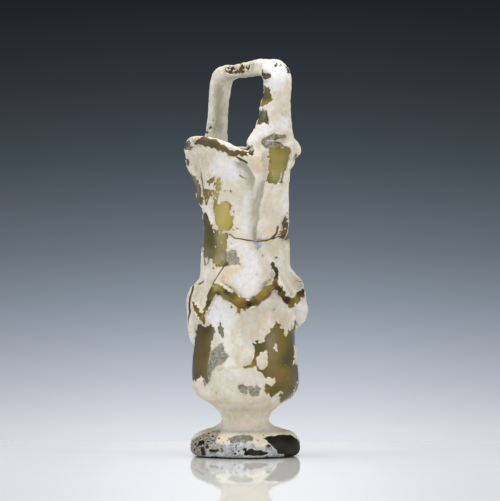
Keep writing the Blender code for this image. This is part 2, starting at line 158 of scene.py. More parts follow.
# Windows in the front's crust, each outlined in pixels
WINDOWS = [
    [(214.5, 205), (217, 203), (221, 204), (225, 201), (230, 202), (231, 206), (229, 210), (232, 213),
     (234, 219), (234, 226), (229, 231), (219, 232), (217.5, 225), (215, 216)],
    [(200, 211), (207, 213), (211, 223), (215, 230), (216, 246), (214, 258), (211, 257), (208, 268),
     (205, 266), (201, 262)],
    [(214, 230), (227, 233), (230, 237), (227, 244), (225.5, 250), (229, 256), (227.5, 264.5), (218, 267),
     (212, 260), (216, 245)],
    [(206.5, 180), (209, 178.4), (213, 178.2), (215.5, 179.8), (213.5, 182.6), (209, 184), (206.8, 182.4)],
    [(217.5, 178.5), (221, 178), (222, 183), (221.5, 187), (220, 191), (219.5, 195), (219, 199), (218, 205),
     (215, 205), (214.5, 198), (213, 194), (215, 190), (215.5, 186), (216, 182)],
    [(203.5, 188), (206, 189), (209, 188), (213, 190), (214, 194), (213, 197), (209, 197), (208, 200),
     (207, 204), (205, 204), (204, 200), (203, 194)],
    [(268.8, 146.8), (275, 145.8), (283, 146.8), (290, 147.3), (289.6, 152), (288.3, 158.3), (285.8, 170),
     (283.3, 178.3), (281.7, 183.3), (278.7, 182), (276.7, 182.8), (274, 184.6), (270, 182.5), (265, 180.5),
     (267, 175), (268.8, 171.7), (268.3, 160)],
    [(195, 140.4), (200.8, 137.7), (207.5, 137.7), (215.8, 140.8), (223.3, 145), (231.7, 149.2),
     (241.7, 150), (249.2, 147.2), (253.8, 150.8), (253.8, 154.2), (248.3, 154.2), (246.7, 156.7),
     (240, 156.7), (233.3, 155), (225, 152.5), (215.8, 149.2), (207.5, 146.7), (201.7, 143.8), (196.7, 145),
     (195, 142.5)],
    [(183, 142), (187, 140.5), (191, 142), (192, 146), (190, 150), (184, 151)],
    [(183, 159.5), (188, 159), (190.5, 162), (189, 165), (184, 166)],
    [(261, 70), (263.5, 70), (264.5, 73.5), (268, 73.5), (270.7, 75.5), (270, 78.5), (266, 79), (262, 78)],
    [(260, 80), (265, 81), (264, 84), (260, 85)],
    [(261, 87), (265.7, 86.4), (270.3, 86.4), (270, 94.3), (271.7, 100), (268.6, 102.9), (264.3, 106.4),
     (260, 106)],
    [(257, 110.5), (264, 110.8), (267, 114.5), (269.6, 118), (269, 121), (270.8, 126), (266, 123.4),
     (262, 123), (258, 125), (253, 126)],
    [(225.4, 69.5), (229, 67.2), (234.5, 67.2), (235, 71.5), (241.4, 70.5), (241, 73.5), (229, 73.6),
     (225.4, 72)],
    [(238, 69), (241.5, 65.9), (248.6, 66.4), (252, 66), (251.5, 69), (245, 68.6), (243, 71.5), (238, 72)],
    [(286, 66), (290, 67), (292, 73), (288, 73)],
    [(189, 173), (194, 174), (197, 178), (199, 183.5), (200.5, 190.5), (202, 197), (204, 204), (198, 204),
     (190, 194), (184, 178)],
    [(285.2, 214.5), (287, 220.5), (288.5, 227), (292, 231), (292, 238), (288.9, 240), (285.6, 240.3),
     (279.4, 237), (281.3, 232), (282.5, 229), (280.6, 225), (283.5, 221.5)],
    [(198.5, 324), (207, 325.5), (211, 323.5), (214, 326), (216.5, 333.5), (214, 334.5), (212, 341),
     (211, 349), (209, 357), (209, 365), (209.5, 371), (208.5, 378), (207, 384), (204.5, 380), (202, 376),
     (197, 378), (193, 383), (188, 380), (188, 355), (192, 348), (194.6, 341.5), (196.4, 333)],
    [(221.5, 322), (224.3, 326), (224.8, 333), (222.5, 338.5), (220, 336), (218.6, 328)],
    [(276, 321), (280, 323), (283, 330), (284, 335), (288, 333), (291, 328), (295, 320), (302, 334),
     (302, 380), (296, 390), (289, 398), (282, 402), (277, 400), (283, 393), (282, 389), (277, 393),
     (276, 397), (271, 398), (269, 394), (264, 389), (265, 385), (273, 384), (276, 381), (273, 377),
     (267, 378), (263, 374), (258, 371), (254, 367), (244, 368), (245, 366), (252, 363), (254, 357),
     (253, 343), (266, 341), (266, 337), (271, 332), (271, 328)],
    [(263.3, 438.6), (268, 436.7), (275, 436), (286, 434.7), (292, 436), (298, 440), (304, 446), (304, 450),
     (301, 455), (296, 458.5), (290, 458.5), (284, 455.4), (278, 453.2), (275.5, 449.5), (272, 446),
     (268.5, 443.2), (267, 440.8)],
    [(244.2, 454.5), (245.5, 451.5), (248.5, 449.3), (252, 448.8), (257, 450), (262, 450.6), (266.5, 451.8),
     (268.5, 453.8), (266, 455.6), (258, 455.8), (251, 455.4), (247, 456)],
    [(208.7, 450), (210.8, 448.5), (214, 449.7), (218.8, 449.2), (219.3, 452.2), (214.5, 452.9),
     (210, 452.2)],
    [(197.6, 443.5), (200, 441), (203.5, 440), (204.9, 443), (203.8, 445.8), (201, 446.6), (199.5, 444.6)],
    [(198.5, 447.5), (204, 446.8), (205.6, 450), (205.5, 455), (202.5, 455.4), (200.5, 451)],
]

# Crust left standing inside the windows
ISLANDS = [
    [(266, 351), (268, 357), (267, 365), (263, 370), (256, 367), (256, 358), (261, 353)],
    [(274, 345), (277, 346), (277, 350), (274, 349)],
    [(265, 380), (273, 378), (275, 382), (272, 386), (266, 386)],
    [(277.5, 183), (279.8, 173.5), (281.8, 171.7), (281, 177), (279.4, 182)],
    [(222, 230), (226, 231), (225, 234), (221, 233)],
    [(295, 345), (298, 349), (298, 361), (296, 366), (294, 357)],
    [(296, 325), (300, 330), (299, 342), (297, 344), (295, 334)],
    [(201, 249), (203, 246), (204.5, 258), (203, 270), (201, 268)],
    [(206, 256), (208, 259), (208.5, 272), (206.5, 268)],
    [(227, 69), (229.6, 68.2), (230.6, 70.6), (228.4, 71.6)],
    [(232.2, 69.8), (234.8, 69.4), (235, 72), (232.8, 72.4)],
]

# Where small flecks of crust still cling to bare glass
FLECKED = [
    [(183, 139), (212, 136), (212, 147), (206, 148), (192, 146), (190, 168), (183, 168)],
    [(224, 143), (256, 145), (256, 158), (240, 158), (224, 155)],
    [(202, 176), (226, 176), (220, 204), (202, 204)],
    [(214, 229), (234, 229), (232, 262), (216, 262)],
    [(260, 68), (272, 68), (272, 90), (260, 90)],
    [(222, 64), (256, 62), (256, 74), (222, 76)],
    [(278, 212), (293, 212), (293, 243), (278, 243)],
    [(272, 284), (282, 284), (292, 300), (306, 286), (306, 300), (292, 308), (284, 302)],
    [(192, 436), (222, 430), (222, 456), (192, 456)],
    [(293, 330), (300, 330), (300, 392), (293, 392)],
    [(286, 434), (304, 434), (304, 444), (294, 441)],
]

# Thin film over the glass: outlines, strength, tone from dirty to silvery, and its edge's softness
FILMS = [
    ([(224, 254), (228.2, 252.2), (231.6, 249.9), (235.3, 250.4), (237.1, 253.1), (236.6, 256.7),
      (239.4, 258.1), (239.4, 262.2), (241.2, 265), (231, 265), (224, 267)], 1.0, 0.3, 0.9),
    ([(210, 350), (216, 347), (222, 343), (226, 351), (229, 357), (226, 362), (217, 368), (209, 372),
      (207, 362)], 0.85, 0.22, 3.0),
    ([(208, 360), (213, 362), (212, 371), (210, 380), (206, 387), (203, 381), (206, 370)], 0.9, 0.02, 2.0),
    ([(238, 386), (244, 383), (249, 387), (247, 394), (240, 392)], 1.0, 0.2, 1.2),
    ([(249, 388), (256, 386), (262, 388), (258, 397), (252, 395)], 1.0, 0.25, 1.2),
    ([(250, 242), (263, 243), (261, 246), (257.8, 249.5), (254, 247)], 0.85, 0.55, 1.5),
    ([(257, 238.5), (263, 238), (264, 241), (257, 241.5)], 0.8, 0.5, 0.9),
    # This dark sheet at the ledge's left end is painted shade under the fold, laid as dirty film
    ([(261.5, 141), (264.5, 138), (266.5, 139.5), (265, 142), (268, 144.5), (269, 148.5), (265, 147),
      (261.5, 144)], 1.0, -0.8, 0.7),
    ([(272, 134.9), (280.5, 135.2), (279.5, 136.6), (273, 136.6)], 1.0, 0.8, 0.7),
    ([(262, 141), (264.8, 137.4), (267.8, 136.9), (270.7, 134.8), (274.2, 132.2), (276.6, 133.3),
      (280.1, 135.1), (281.9, 135.7), (284, 134.3), (286.8, 136.6), (284.2, 137.6), (280.7, 137.5),
      (277.2, 138.9), (275.4, 140.6), (270, 140.8), (266, 141.4), (263, 142)], 1.0, 0.05, 0.7),
    # Painted shade on the ledge's underside, laid as dirty film
    ([(262, 141), (266, 141.3), (270.5, 142), (275.4, 141.6), (279.5, 142.5), (282.5, 144.2),
      (284.6, 146.6), (281, 147), (277.8, 146), (270.1, 146.2), (268, 149), (265, 146.2),
      (262, 144)], 1.0, -0.05, 0.7),
    ([(247, 145), (253, 145), (254, 151), (249, 151)], 0.9, 0.1, 1.5),
    ([(203, 139), (208, 139.5), (210, 143), (206, 145.5), (202, 143)], 0.6, 0.2, 1.5),
    ([(209, 447), (214, 443), (222, 444), (230, 448), (234, 454), (208, 456)], 1.0, 0.42, 1.6),
    ([(209, 447), (214, 443), (222, 446), (229, 445), (234, 444), (242, 442), (252, 444), (256, 448),
      (262, 448), (268, 445), (273, 447), (278, 452), (290, 457), (290, 461), (240, 461), (212, 460),
      (205, 455), (207, 450)], 1.0, 0.56, 1.0),
    ([(228, 438), (236, 436), (244, 435.5), (253.5, 437), (253.5, 440.5), (246, 442.5), (238, 443),
      (231, 444)], 0.95, -0.02, 1.2),
    ([(190, 449), (192, 441), (198, 437), (206, 433.5), (215, 431), (221, 431), (220, 434), (217, 438),
      (216, 444), (211, 447), (207, 452), (206, 459), (192, 459)], 0.85, 0.08, 1.2),
]

# Brown soil in the crust: outlines and strength
SOIL_ZONES = [
    ([(207, 126), (212, 123.5), (214.5, 127), (213, 132), (209, 131), (206, 137), (203, 137)], 0.8),
    ([(281, 222), (285, 213), (289, 216), (291, 242), (284, 241), (277, 238)], 0.9),
    ([(189, 449), (192, 440), (198, 436), (208, 433), (221, 430), (220, 435), (215, 444), (209, 448),
      (206, 459), (190, 459)], 0.6),
    ([(190, 139), (199, 137), (206, 139), (203, 145), (196, 147)], 0.75),
    ([(183, 141), (190, 140), (193, 150), (185, 152)], 0.85),
    ([(184, 157), (191, 158), (191, 165), (185, 166)], 0.75),
    ([(191, 174), (194, 175), (197, 184), (193, 184)], 0.6),
    ([(224, 66), (254, 64), (256, 61), (257, 65), (253, 70), (238, 75), (224, 74)], 0.6),
    ([(284, 64), (291, 66), (292, 75), (287, 74)], 0.6),
    ([(261, 70), (271, 72), (271, 80), (265, 88), (261, 88)], 0.5),
    ([(260, 285), (266, 280), (271, 274), (275, 275), (275, 285), (268, 289), (261, 290)], 0.65),
    ([(271, 288), (277, 287), (288, 297), (285, 300), (276, 293)], 0.6),
    ([(188, 286), (200, 283), (204, 290), (196, 298), (190, 300)], 0.35),
    ([(261, 140), (264, 137.5), (267, 138.5), (265, 142), (267, 145), (266, 149), (261, 145)], 0.3),
    ([(268, 146.2), (278, 146), (282, 148), (284, 150), (268, 149)], 0.4),
    ([(276, 136), (283, 136.4), (284.5, 134.5), (286.6, 136.6), (284, 137.8), (278, 138)], 0.4),
    ([(296, 280), (302, 280.5), (302, 283), (296, 282.5)], 0.8),
    ([(299, 284), (305, 286), (305, 300), (300, 298)], 0.6),
    ([(209, 352), (224, 349), (228, 357), (224, 367), (214, 374), (208, 386), (203, 384), (208, 370)], 0.3),
    ([(250, 240), (266, 238), (272, 236), (272, 239), (262, 243), (250, 243)], 0.4),
]

# Cracks and narrow bare lines: pixels and half width
CRACKS = [
    [(230, 235, 0.6), (236, 238, 0.55), (246, 240, 0.65), (254, 242, 0.55), (263, 241, 0.8),
     (271, 238, 0.7), (276, 234, 1.0), (278, 226, 0.8)],
    [(272, 238, 0.6), (280, 236, 0.55), (287, 236, 0.7)],
    [(226, 264, 0.6), (216, 278, 0.55), (211, 288, 0.6), (208, 297, 0.9)],
    [(236, 156.5, 0.6), (241, 159.5, 0.9), (244, 161, 1.3), (247, 162.8, 1.1)],
    [(201, 173, 0.4), (202, 181, 0.5), (204, 189, 0.6)],
    [(240, 175.2, 0.5), (243, 177.2, 0.4), (246.5, 178.8, 0.3)],
    [(194, 285, 0.7), (190, 297, 0.8), (190, 312, 0.8), (188, 326, 0.8)],
    [(199, 285, 0.7), (204, 282, 0.7)],
    [(295.8, 154, 0.9), (295.2, 157, 1.0), (293.4, 160.5, 0.6)],
]

# The bare stretches of the thread: pixels and half width
BARE_THREAD = [
    [(194.5, 304, 1.5), (196.5, 310, 1.7), (200.5, 315, 2.6), (203.5, 319, 2.2), (204.8, 323, 0.7)],
    [(203.5, 318, 0.8), (206, 310, 1.1), (208.6, 303, 1.7), (210.5, 297, 2.4), (213, 291, 4.0),
     (217, 289, 5.2), (221, 291, 4.6), (226, 294, 4.2), (232, 297.2, 5.2), (239, 302.2, 5.4),
     (245, 305, 4.2), (252, 304, 3.8), (260, 298, 4.2), (268, 291, 4.4), (275, 285, 3.6), (279, 289, 2.8),
     (285, 298, 3.2), (291, 304, 3.6), (297, 299, 3.2), (302, 291, 2.6)],
    [(275, 285, 2.6), (277, 277, 2.1), (276, 270, 2.2), (272, 264, 1.9)],
    [(239, 304, 2.0), (239, 313, 0.6)],
]

# Single specks: pixels, half width and half height
SPECKS = [
    (276.5, 65.5, 1.4, 1.2), (280.5, 64.5, 1.0, 1.0), (225, 191.7, 1.3, 1.2), (229.6, 191.3, 1.5, 1.3),
    (234, 228.5, 1.2, 1.0), (238, 228.5, 1.0, 0.9), (263.3, 256, 1.1, 1.8), (276.4, 258.6, 2.2, 0.9),
    (302, 294, 2.0, 4.2), (301, 282, 1.6, 1.0), (186, 345, 1.6, 2.4), (188, 333, 1.4, 3.0),
    (206.5, 438.6, 0.9, 1.2), (212, 440.5, 1.2, 0.9), (228, 440.5, 0.9, 0.6), (233, 450.7, 1.0, 0.8),
    (239, 451.3, 1.0, 1.0), (236, 445, 0.7, 0.6), (224, 443, 0.7, 0.6), (194.5, 450, 1.0, 1.6),
    (219, 439, 0.9, 0.7), (215, 444, 0.8, 0.6), (210.3, 127.3, 1.6, 1.8), (206.8, 132.6, 1.1, 1.2),
    (208.5, 433.5, 1.6, 0.7), (212.5, 436, 1.4, 0.8), (200.5, 438.5, 1.2, 0.9), (209, 441.5, 1.2, 0.8),
    (214, 440, 0.9, 0.7), (208, 446, 1.0, 1.2), (195.5, 444.5, 1.3, 1.0), (217, 433.5, 1.3, 0.5),
]

# Where the crust is lilac white, which also paints highlights on the faces the light falls on; where it is
# stained peach; and where it is smudged grey, which also paints shade: outlines and strength
PALE_AND_LIT_ZONES = [
    ([(225, 246), (233, 240), (246, 242), (256, 251), (261, 268), (264, 284), (259, 298), (247, 302),
      (237, 294), (232, 280), (242, 269), (244, 256), (235, 249)], 0.7),
    ([(206, 300), (216, 294), (232, 302), (238, 316), (232, 345), (236, 368), (226, 366), (217, 332),
      (207, 322)], 0.65),
    ([(244, 192), (253, 184), (255, 196), (252, 214), (250, 236), (240, 236), (238, 214)], 0.5),
    ([(232, 196), (238, 205), (240, 232), (233, 230), (234, 212)], 0.5),
    ([(268, 60), (284, 62), (290, 76), (276, 92), (266, 84), (264, 66)], 1.0),
    ([(262, 292), (280, 288), (292, 308), (278, 312), (262, 304)], 0.5),
    ([(207, 84), (212, 80), (212, 128), (206, 134)], 0.7),
    ([(281, 186), (290, 184), (290, 224), (282, 218)], 0.7),
    ([(226, 424), (264, 424), (276, 433), (246, 436), (214, 433)], 0.5),
    ([(254, 172), (260, 174), (262, 184), (256, 190)], 0.7),
    ([(263, 122), (288, 118), (291, 132), (276, 131), (262, 138), (250, 150), (246, 146)], 0.8),
    ([(214, 374), (236, 366), (262, 374), (262, 384), (232, 384), (216, 382)], 0.4),
    ([(196, 196), (212, 206), (214, 226), (204, 214)], 0.7),
    ([(294, 298), (308, 306), (304, 322), (294, 326)], 0.6),
    ([(216, 152), (240, 160), (250, 176), (236, 182), (206, 172)], 0.7),
]
PEACH_ZONES = [
    ([(252, 156), (262, 158), (264, 170), (256, 172)], 0.8),
    ([(264, 194), (282, 192), (284, 214), (268, 218)], 0.35),
    ([(262, 222), (276, 222), (278, 234), (266, 238)], 0.6),
    ([(214, 268), (232, 262), (242, 270), (226, 284), (214, 282)], 0.55),
    ([(228, 188), (238, 196), (242, 208), (234, 206)], 0.4),
    ([(190, 178), (200, 184), (204, 204), (196, 196)], 0.5),
    ([(204, 148), (222, 152), (226, 160), (208, 158)], 0.3),
    ([(232, 388), (262, 396), (262, 412), (236, 410)], 0.25),
    ([(242, 302), (252, 292), (256, 300), (248, 306)], 0.5),
    ([(252, 318), (272, 316), (268, 352), (250, 352)], 0.3),
]
# Grey smudge zones: several are painted shade, in the dent, on the left limb's inner face, beside the strap
# and under the thread
SHADE_AND_SMUDGE_ZONES = [
    ([(214, 84), (223, 84), (221, 132), (213, 132)], 0.7),
    ([(230, 167), (242, 163), (247, 164), (254, 174), (255, 180), (244, 180), (234, 174)], 0.25),
    ([(208, 84), (213, 84), (213, 128), (208, 132)], 0.5),
    ([(238, 312), (262, 314), (264, 352), (240, 350)], 0.4),
    ([(218, 370), (262, 372), (262, 384), (222, 386)], 0.25),
    ([(200, 154), (218, 154), (220, 168), (204, 170)], 0.3),
    ([(212, 279), (222, 282.5), (233, 288), (246, 297), (245, 301), (232, 293), (221, 287),
      (212, 283)], 0.45),
    ([(266, 294), (284, 296), (290, 308), (268, 312)], 0.45),
    ([(280, 268), (296, 272), (302, 284), (298, 296), (286, 282)], 0.3),
    ([(196, 150), (204, 154), (200, 176), (194, 170)], 0.35),
    ([(262, 150), (268, 150), (268, 176), (264, 181), (261, 172)], 0.6),
    ([(255, 176), (260, 174), (262, 182), (258, 192)], 0.2),
    ([(225, 285.5), (234, 288), (238, 293.5), (228, 292)], 0.6),
]

# Painted shade in hollows and creases, laid on the left of a line, going along it: pixels, reach and strength
PAINTED_FOLD_SHADE = [
    ([(255, 181), (255.4, 178.3), (254.2, 174.2), (250, 168.3), (247, 163.3), (242, 162)], 8.5, 0.88),
    ([(257, 238), (259, 222), (260, 211), (262.3, 199), (265, 184)], 5.5, 1.0),
    ([(296, 300), (299, 291), (302, 286), (301, 281), (292, 272)], 6.0, 0.45),
    ([(206, 152), (202, 160), (201, 172), (203, 186)], 3.0, 0.5),
    ([(263, 290), (271, 284), (275, 276), (274, 266)], 4.0, 0.5),
]

# Tones the glass takes where no window sets them
HIDDEN_DARKNESS = 0.6
THREAD_DARKNESS, THREAD_AMBER = (0.4, 0.9)

# Tones in the windows: pixels, darkness, amber and how nearly black
WINDOW_TONES = [
    (273, 327, 0.7, 0.5, 0.0), (284, 343, 0.7, 0.4, 0.0), (276, 350, 0.6, 0.5, 0.0),
    (290, 358, 1.0, 0.1, 0.15), (294, 345, 1.0, 0.0, 0.3), (284, 374, 0.7, 0.5, 0.0),
    (191, 350, 1.0, 0.0, 0.3), (190, 372, 1.0, 0.0, 0.3), (298, 372, 1.0, 0.0, 0.2),
    (268, 374, 0.8, 0.4, 0.05), (289, 388, 0.9, 0.2, 0.0), (277, 396, 0.8, 0.3, 0.1),
    (258, 344, 0.9, 0.2, 0.1), (199, 332, 1.0, 0.2, 0.1), (206, 345, 0.95, 0.4, 0.0),
    (198, 352, 0.95, 0.4, 0.05), (196, 372, 1.0, 0.1, 0.1), (205, 370, 0.8, 0.4, 0.0),
    (212, 329, 1.0, 0.1, 0.2), (222, 329, 0.8, 0.0, 0.0), (270, 152, 0.35, 0.1, 0.0),
    (270, 170, 0.3, 0.05, 0.0), (269, 180, 0.6, 0.1, 0.0), (277, 152, 0.1, 0.65, 0.0),
    (279, 160, 0.05, 0.55, 0.0), (278, 168, 0.05, 0.25, 0.0), (276, 176, 0.05, 0.05, 0.0),
    (289.5, 150, 0.5, 0.2, 0.0), (288.5, 162, 0.5, 0.15, 0.0), (282.5, 178, 0.5, 0.05, 0.0),
    (219, 212, 0.0, 0.05, 0.0), (219, 220, 0.05, 0.0, 0.0), (224, 208, 0.0, 0.05, 0.0),
    (229, 220, 0.0, 0.05, 0.0), (222, 228, 0.1, 0.0, 0.0), (203, 214, 1.0, 0.0, 0.2),
    (205, 226, 1.0, 0.0, 0.1), (206, 240, 0.95, 0.0, 0.0), (207, 253, 0.7, 0.0, 0.0),
    (220, 237, 0.45, 0.0, 0.0), (223, 244, 0.4, 0.0, 0.0), (219, 259, 0.1, 0.0, 0.0),
    (266, 76, 1.0, 0.4, 0.2), (266, 94, 0.9, 0.0, 0.05), (263, 118, 0.9, 0.0, 0.15),
    (200, 141, 1.0, 0.5, 0.5), (213, 144, 0.9, 0.5, 0.3), (226, 149, 0.8, 0.4, 0.0),
    (238, 153, 0.9, 0.35, 0.1), (250, 152, 1.0, 0.3, 0.4), (211, 181, 0.6, 0.2, 0.0),
    (219, 184, 0.1, 0.05, 0.0), (217, 196, 0.15, 0.1, 0.0), (208, 194, 0.4, 0.6, 0.0),
    (187, 147, 0.6, 0.0, 0.0), (231, 71, 1.0, 0.5, 0.5), (246, 68, 1.0, 0.5, 0.4), (289, 70, 0.9, 0.3, 0.4),
    (192, 178, 0.3, 0.8, 0.0), (194, 185, 0.7, 0.3, 0.0), (197, 191, 0.8, 0.0, 0.0),
    (200, 199, 0.8, 0.1, 0.1), (285, 221, 0.9, 0.2, 0.3), (286, 235, 0.7, 0.9, 0.2),
    (272, 264, 1.0, 0.2, 0.5), (276, 274, 1.0, 0.6, 0.8), (302, 290, 1.0, 0.8, 0.9),
    (188, 162, 0.9, 0.1, 0.3), (219, 250, 0.5, 0.0, 0.0), (212, 232, 1.0, 0.1, 0.1),
    (213, 240, 1.0, 0.1, 0.1), (213, 248, 1.0, 0.1, 0.1), (212, 255, 0.9, 0.1, 0.05),
]

# Where the glass is hazy: pixels and strength. The spots at (300, 447) and (291, 452) are a painted sheen on
# the foot's black glass.
HAZE_AND_SHEEN = [
    (272, 338, 0.4), (188, 146, 0.95), (205, 258, 0.75), (221, 260, 0.7), (221, 253, 0.3), (207, 380, 0.6),
    (266, 90, 0.3), (263, 117, 0.35), (204, 141, 0.45), (280, 177, 0.25), (222, 330, 0.5), (207, 252, 0.35),
    (267, 450, 0.1), (300, 447, 0.14), (291, 452, 0.14), (256, 452, 0.12), (197, 190, 0.7), (194, 181, 0.6),
    (199, 198, 0.3), (206, 190, 0.3), (226, 258, 0.6), (273, 264, 0.3), (211, 180, 0.2),
]

# Tones along the bare thread: pixels, darkness, amber and how nearly black
THREAD_TONES = [
    (197, 310, 0.6, 0.6, 0.1), (203, 319, 0.4, 0.3, 0.0), (208, 303, 0.9, 0.5, 0.5),
    (211, 295, 0.5, 0.3, 0.1), (216, 288, 0.0, 0.35, 0.0), (221, 290, 0.5, 0.5, 0.2),
    (227, 291, 1.0, 1.0, 0.85), (232, 296, 0.7, 0.8, 0.3), (238, 301, 0.1, 0.8, 0.0),
    (243, 305, 0.6, 1.0, 0.3), (249, 304, 1.0, 1.0, 0.95), (255, 302, 0.8, 1.0, 0.6),
    (259, 298, 0.3, 0.9, 0.0), (264, 293, 0.0, 0.7, 0.0), (270, 288, 0.3, 0.8, 0.0),
    (275, 283, 0.9, 0.3, 0.2), (277, 274, 1.0, 0.6, 0.8), (273, 265, 1.0, 0.6, 0.8),
    (279, 289, 1.0, 0.8, 0.8), (284, 296, 0.8, 1.0, 0.5), (287, 300, 1.0, 1.0, 0.95),
    (293, 303, 0.6, 0.9, 0.2), (297, 300, 0.2, 0.9, 0.0), (302, 290, 1.0, 1.0, 0.95),
]


# The backdrop as the photograph shows it: a row of the photograph, and its colour there
BACKDROP_ROWS = [
    (450, (223, 228, 235)), (430, (219, 224, 230)), (410, (206, 210, 219)), (380, (186, 192, 202)),
    (340, (160, 168, 179)), (300, (134, 144, 154)), (250, (107, 116, 125)), (200, (85, 93, 102)),
    (160, (68, 77, 84)), (120, (56, 63, 70)), (80, (47, 52, 58)), (40, (39, 44, 50)), (0, (32, 35, 41)),
    (-250, (22, 24, 28)),
]


def length(name, description, default):
    """A distance in the side panel, in metres."""
    return bpy.props.FloatProperty(
        name=name, description=description, default=default, min=0.0,
        unit="LENGTH", subtype="DISTANCE", precision=5,
    )


def share(name, description, default):
    """A share from 0 to 1 in the side panel."""
    return bpy.props.FloatProperty(
        name=name, description=description, default=default, min=0.0, max=1.0, subtype="FACTOR"
    )


def power(name, description, default):
    """The power of a light in the side panel, in watts."""
    return bpy.props.FloatProperty(name=name, description=description, default=default, unit="POWER")


def colour(name, description, red, green, blue):
    """A colour in the side panel, given as the screen shows it, from 0 to 255."""
    return bpy.props.FloatVectorProperty(
        name=name, description=description, subtype="COLOR", size=3, min=0.0, max=1.0,
        default=tuple(to_linear(part) for part in (red, green, blue)),
    )


def names_of(settings):
    """The names of a property group's own settings."""
    return [name for name in settings.bl_rna.properties.keys() if name not in ("rna_type", "name")]


def to_linear(screen):
    """One part of a colour from a screen value of 0 to 255 to the linear value that shaders take."""
    part = screen / 255.0
    return part / 12.92 if part <= 0.04045 else ((part + 0.055) / 1.055) ** 2.4


class KohlBottleSizes(bpy.types.PropertyGroup):
    """Sizes of the bottle's glass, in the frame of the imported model."""
    overall_height: length("Overall height", "The foot's underside to the handle's top", HIGHEST.z - LOWEST.z)
    foot_radius: length("Foot radius", "The pad foot at its widest", 0.0193)
    foot_edge: length("Foot edge", "Radius of the rounding under the foot", 0.0030)
    foot_widest: length("Foot widest", "Height at which the foot is widest", 0.0029)
    foot_top: length("Foot top", "Height where the foot's edge has turned into its top", 0.0087)
    stem_radius: length("Stem radius", "The stem at its narrowest", 0.0078)
    stem_height: length("Stem height", "Height of the narrowest place", 0.0130)
    belly_radius: length("Belly radius", "The body at its widest", 0.0185)
    belly_height: length("Belly height", "Height of the widest place", 0.0285)
    waist_radius: length("Waist radius", "The body under the zigzag thread", 0.0169)
    waist_height: length("Waist height", "Height of that place", 0.0470)
    tube_radius: length("Tube radius", "The straight tube", 0.0149)
    tube_start: length("Tube start", "Height where the tube gets straight", 0.0780)
    tube_end: length("Tube end", "Height where the mouth starts to flare", 0.0985)
    wall: length("Wall", "Thickness of the tube's wall", 0.0021)
    floor: length("Floor height", "Height of the bowl's bottom", 0.0200)
    lip_radius: length("Lip radius", "The mouth's rim at its outside", 0.0197)
    lip_edge: length("Lip edge", "Radius of the rim's rounding", 0.0016)
    lip_rise: length("Lip rise", "How far the rim is drawn up at the left", 0.0029)
    lip_dip: length("Lip dip", "How far the rim is pressed down in front", 0.0039)
    mouth_shift: length("Mouth shift", "How far the mouth leans to the left", 0.0010)
    basket_rise: length("Handle rise", "The basket handle's height over the rim", 0.0316)
    basket_width: length("Handle front width", "Width of the handle's front limb", 0.0093)
    basket_slim: length("Handle back width", "Width of the handle's back limb", 0.0068)
    basket_thickness: length("Handle thickness", "Thickness of both limbs", 0.0047)
    strap_width: length("Front strap width", "Width of the strap under the handle", 0.0100)
    strap_length: length("Front strap length", "From the rim down to the strap's foot", 0.0309)
    left_strap_width: length("Left strap width", "Width of the strap at the left", 0.0076)
    left_strap_length: length("Left strap length", "From the rim down to its foot", 0.0189)
    strap_thickness: length("Strap thickness", "How thick a strap lies on the tube", 0.0026)
    zigzag_height: length("Zigzag height", "Mean height of the thread", 0.0570)
    zigzag_swing: length("Zigzag swing", "From that height to a peak", 0.0036)
    zigzag_sag: length("Zigzag sag", "How far the thread sags at the front left", 0.0042)
    thread_radius: length("Thread radius", "Radius of the thread", 0.0016)


class KohlCrustSizes(bpy.types.PropertyGroup):
    """Sizes of the weathering crust, and how fine the meshes are."""
    thickness: length("Thickness", "The crust over the glass", 0.00030)
    film: length("Film thickness", "The thin grey film over the glass", 0.00010)
    sink: length("Sink", "How far the crust has eaten into the glass", 0.00014)
    lining: length("Lining thickness", "The soil on the inside", 0.00035)
    glass_step: length("Glass step", "Mesh spacing of the glass", 0.00060)
    crust_step: length("Crust step", "Mesh spacing of the crust", 0.00047)
    lining_step: length("Lining step", "Mesh spacing of the lining", 0.00075)
    flaked: share("Flaked share", "How much of the crust is gone on the sides the photograph hides", 0.19)


class KohlColours(bpy.types.PropertyGroup):
    """Colours of the glass, the crust and the studio."""
    cream: colour("Cream crust", "The chalky crust", 218, 211, 194)
    beige: colour("Beige crust", "Darker patches of the crust", 205, 195, 173)
    # Lilac is also the painted highlight on faces that the light falls on
    lilac: colour("Lilac crust", "The brightest, coldest crust", 229, 229, 228)
    peach: colour("Peach stain", "Iron stains in the crust", 224, 199, 170)
    shade_and_smudge: colour("Grey smudge", "Thin or dirty crust", 166, 162, 144)
    # Grey smudge: dirty crust, and also the painted shade in hollows, creases and faces turned from the light
    film: colour("Grey film", "Iridescent film left on the glass", 156, 153, 137)
    # Dirty film also paints the shade under the ledge
    murk: colour("Dirty film", "The film's dirtier patches", 108, 104, 92)
    silver: colour("Silver film", "The brightest part of the film", 192, 199, 203)
    slate: colour("Slate film", "The darker part of the silvery film", 106, 111, 114)
    soil: colour("Soil", "Dark soil in pits and under the crust", 74, 60, 42)
    olive: colour("Light olive glass", "Thin glass with light behind it", 230, 214, 110)
    dark_olive: colour("Dark olive glass", "Thick or dark-backed glass", 110, 102, 46)
    amber: colour("Amber glass", "The thread and the solid parts", 176, 128, 32)
    black: colour("Black glass", "The foot's thick glass", 20, 15, 13)
    floor: colour("Floor", "The pale glossy floor", 226, 226, 224)
    # The floor's sides: the middle is painted brighter than them, as painted light round the bottle
    floor_side: colour("Floor sides", "The floor away from the middle", 201, 205, 210)


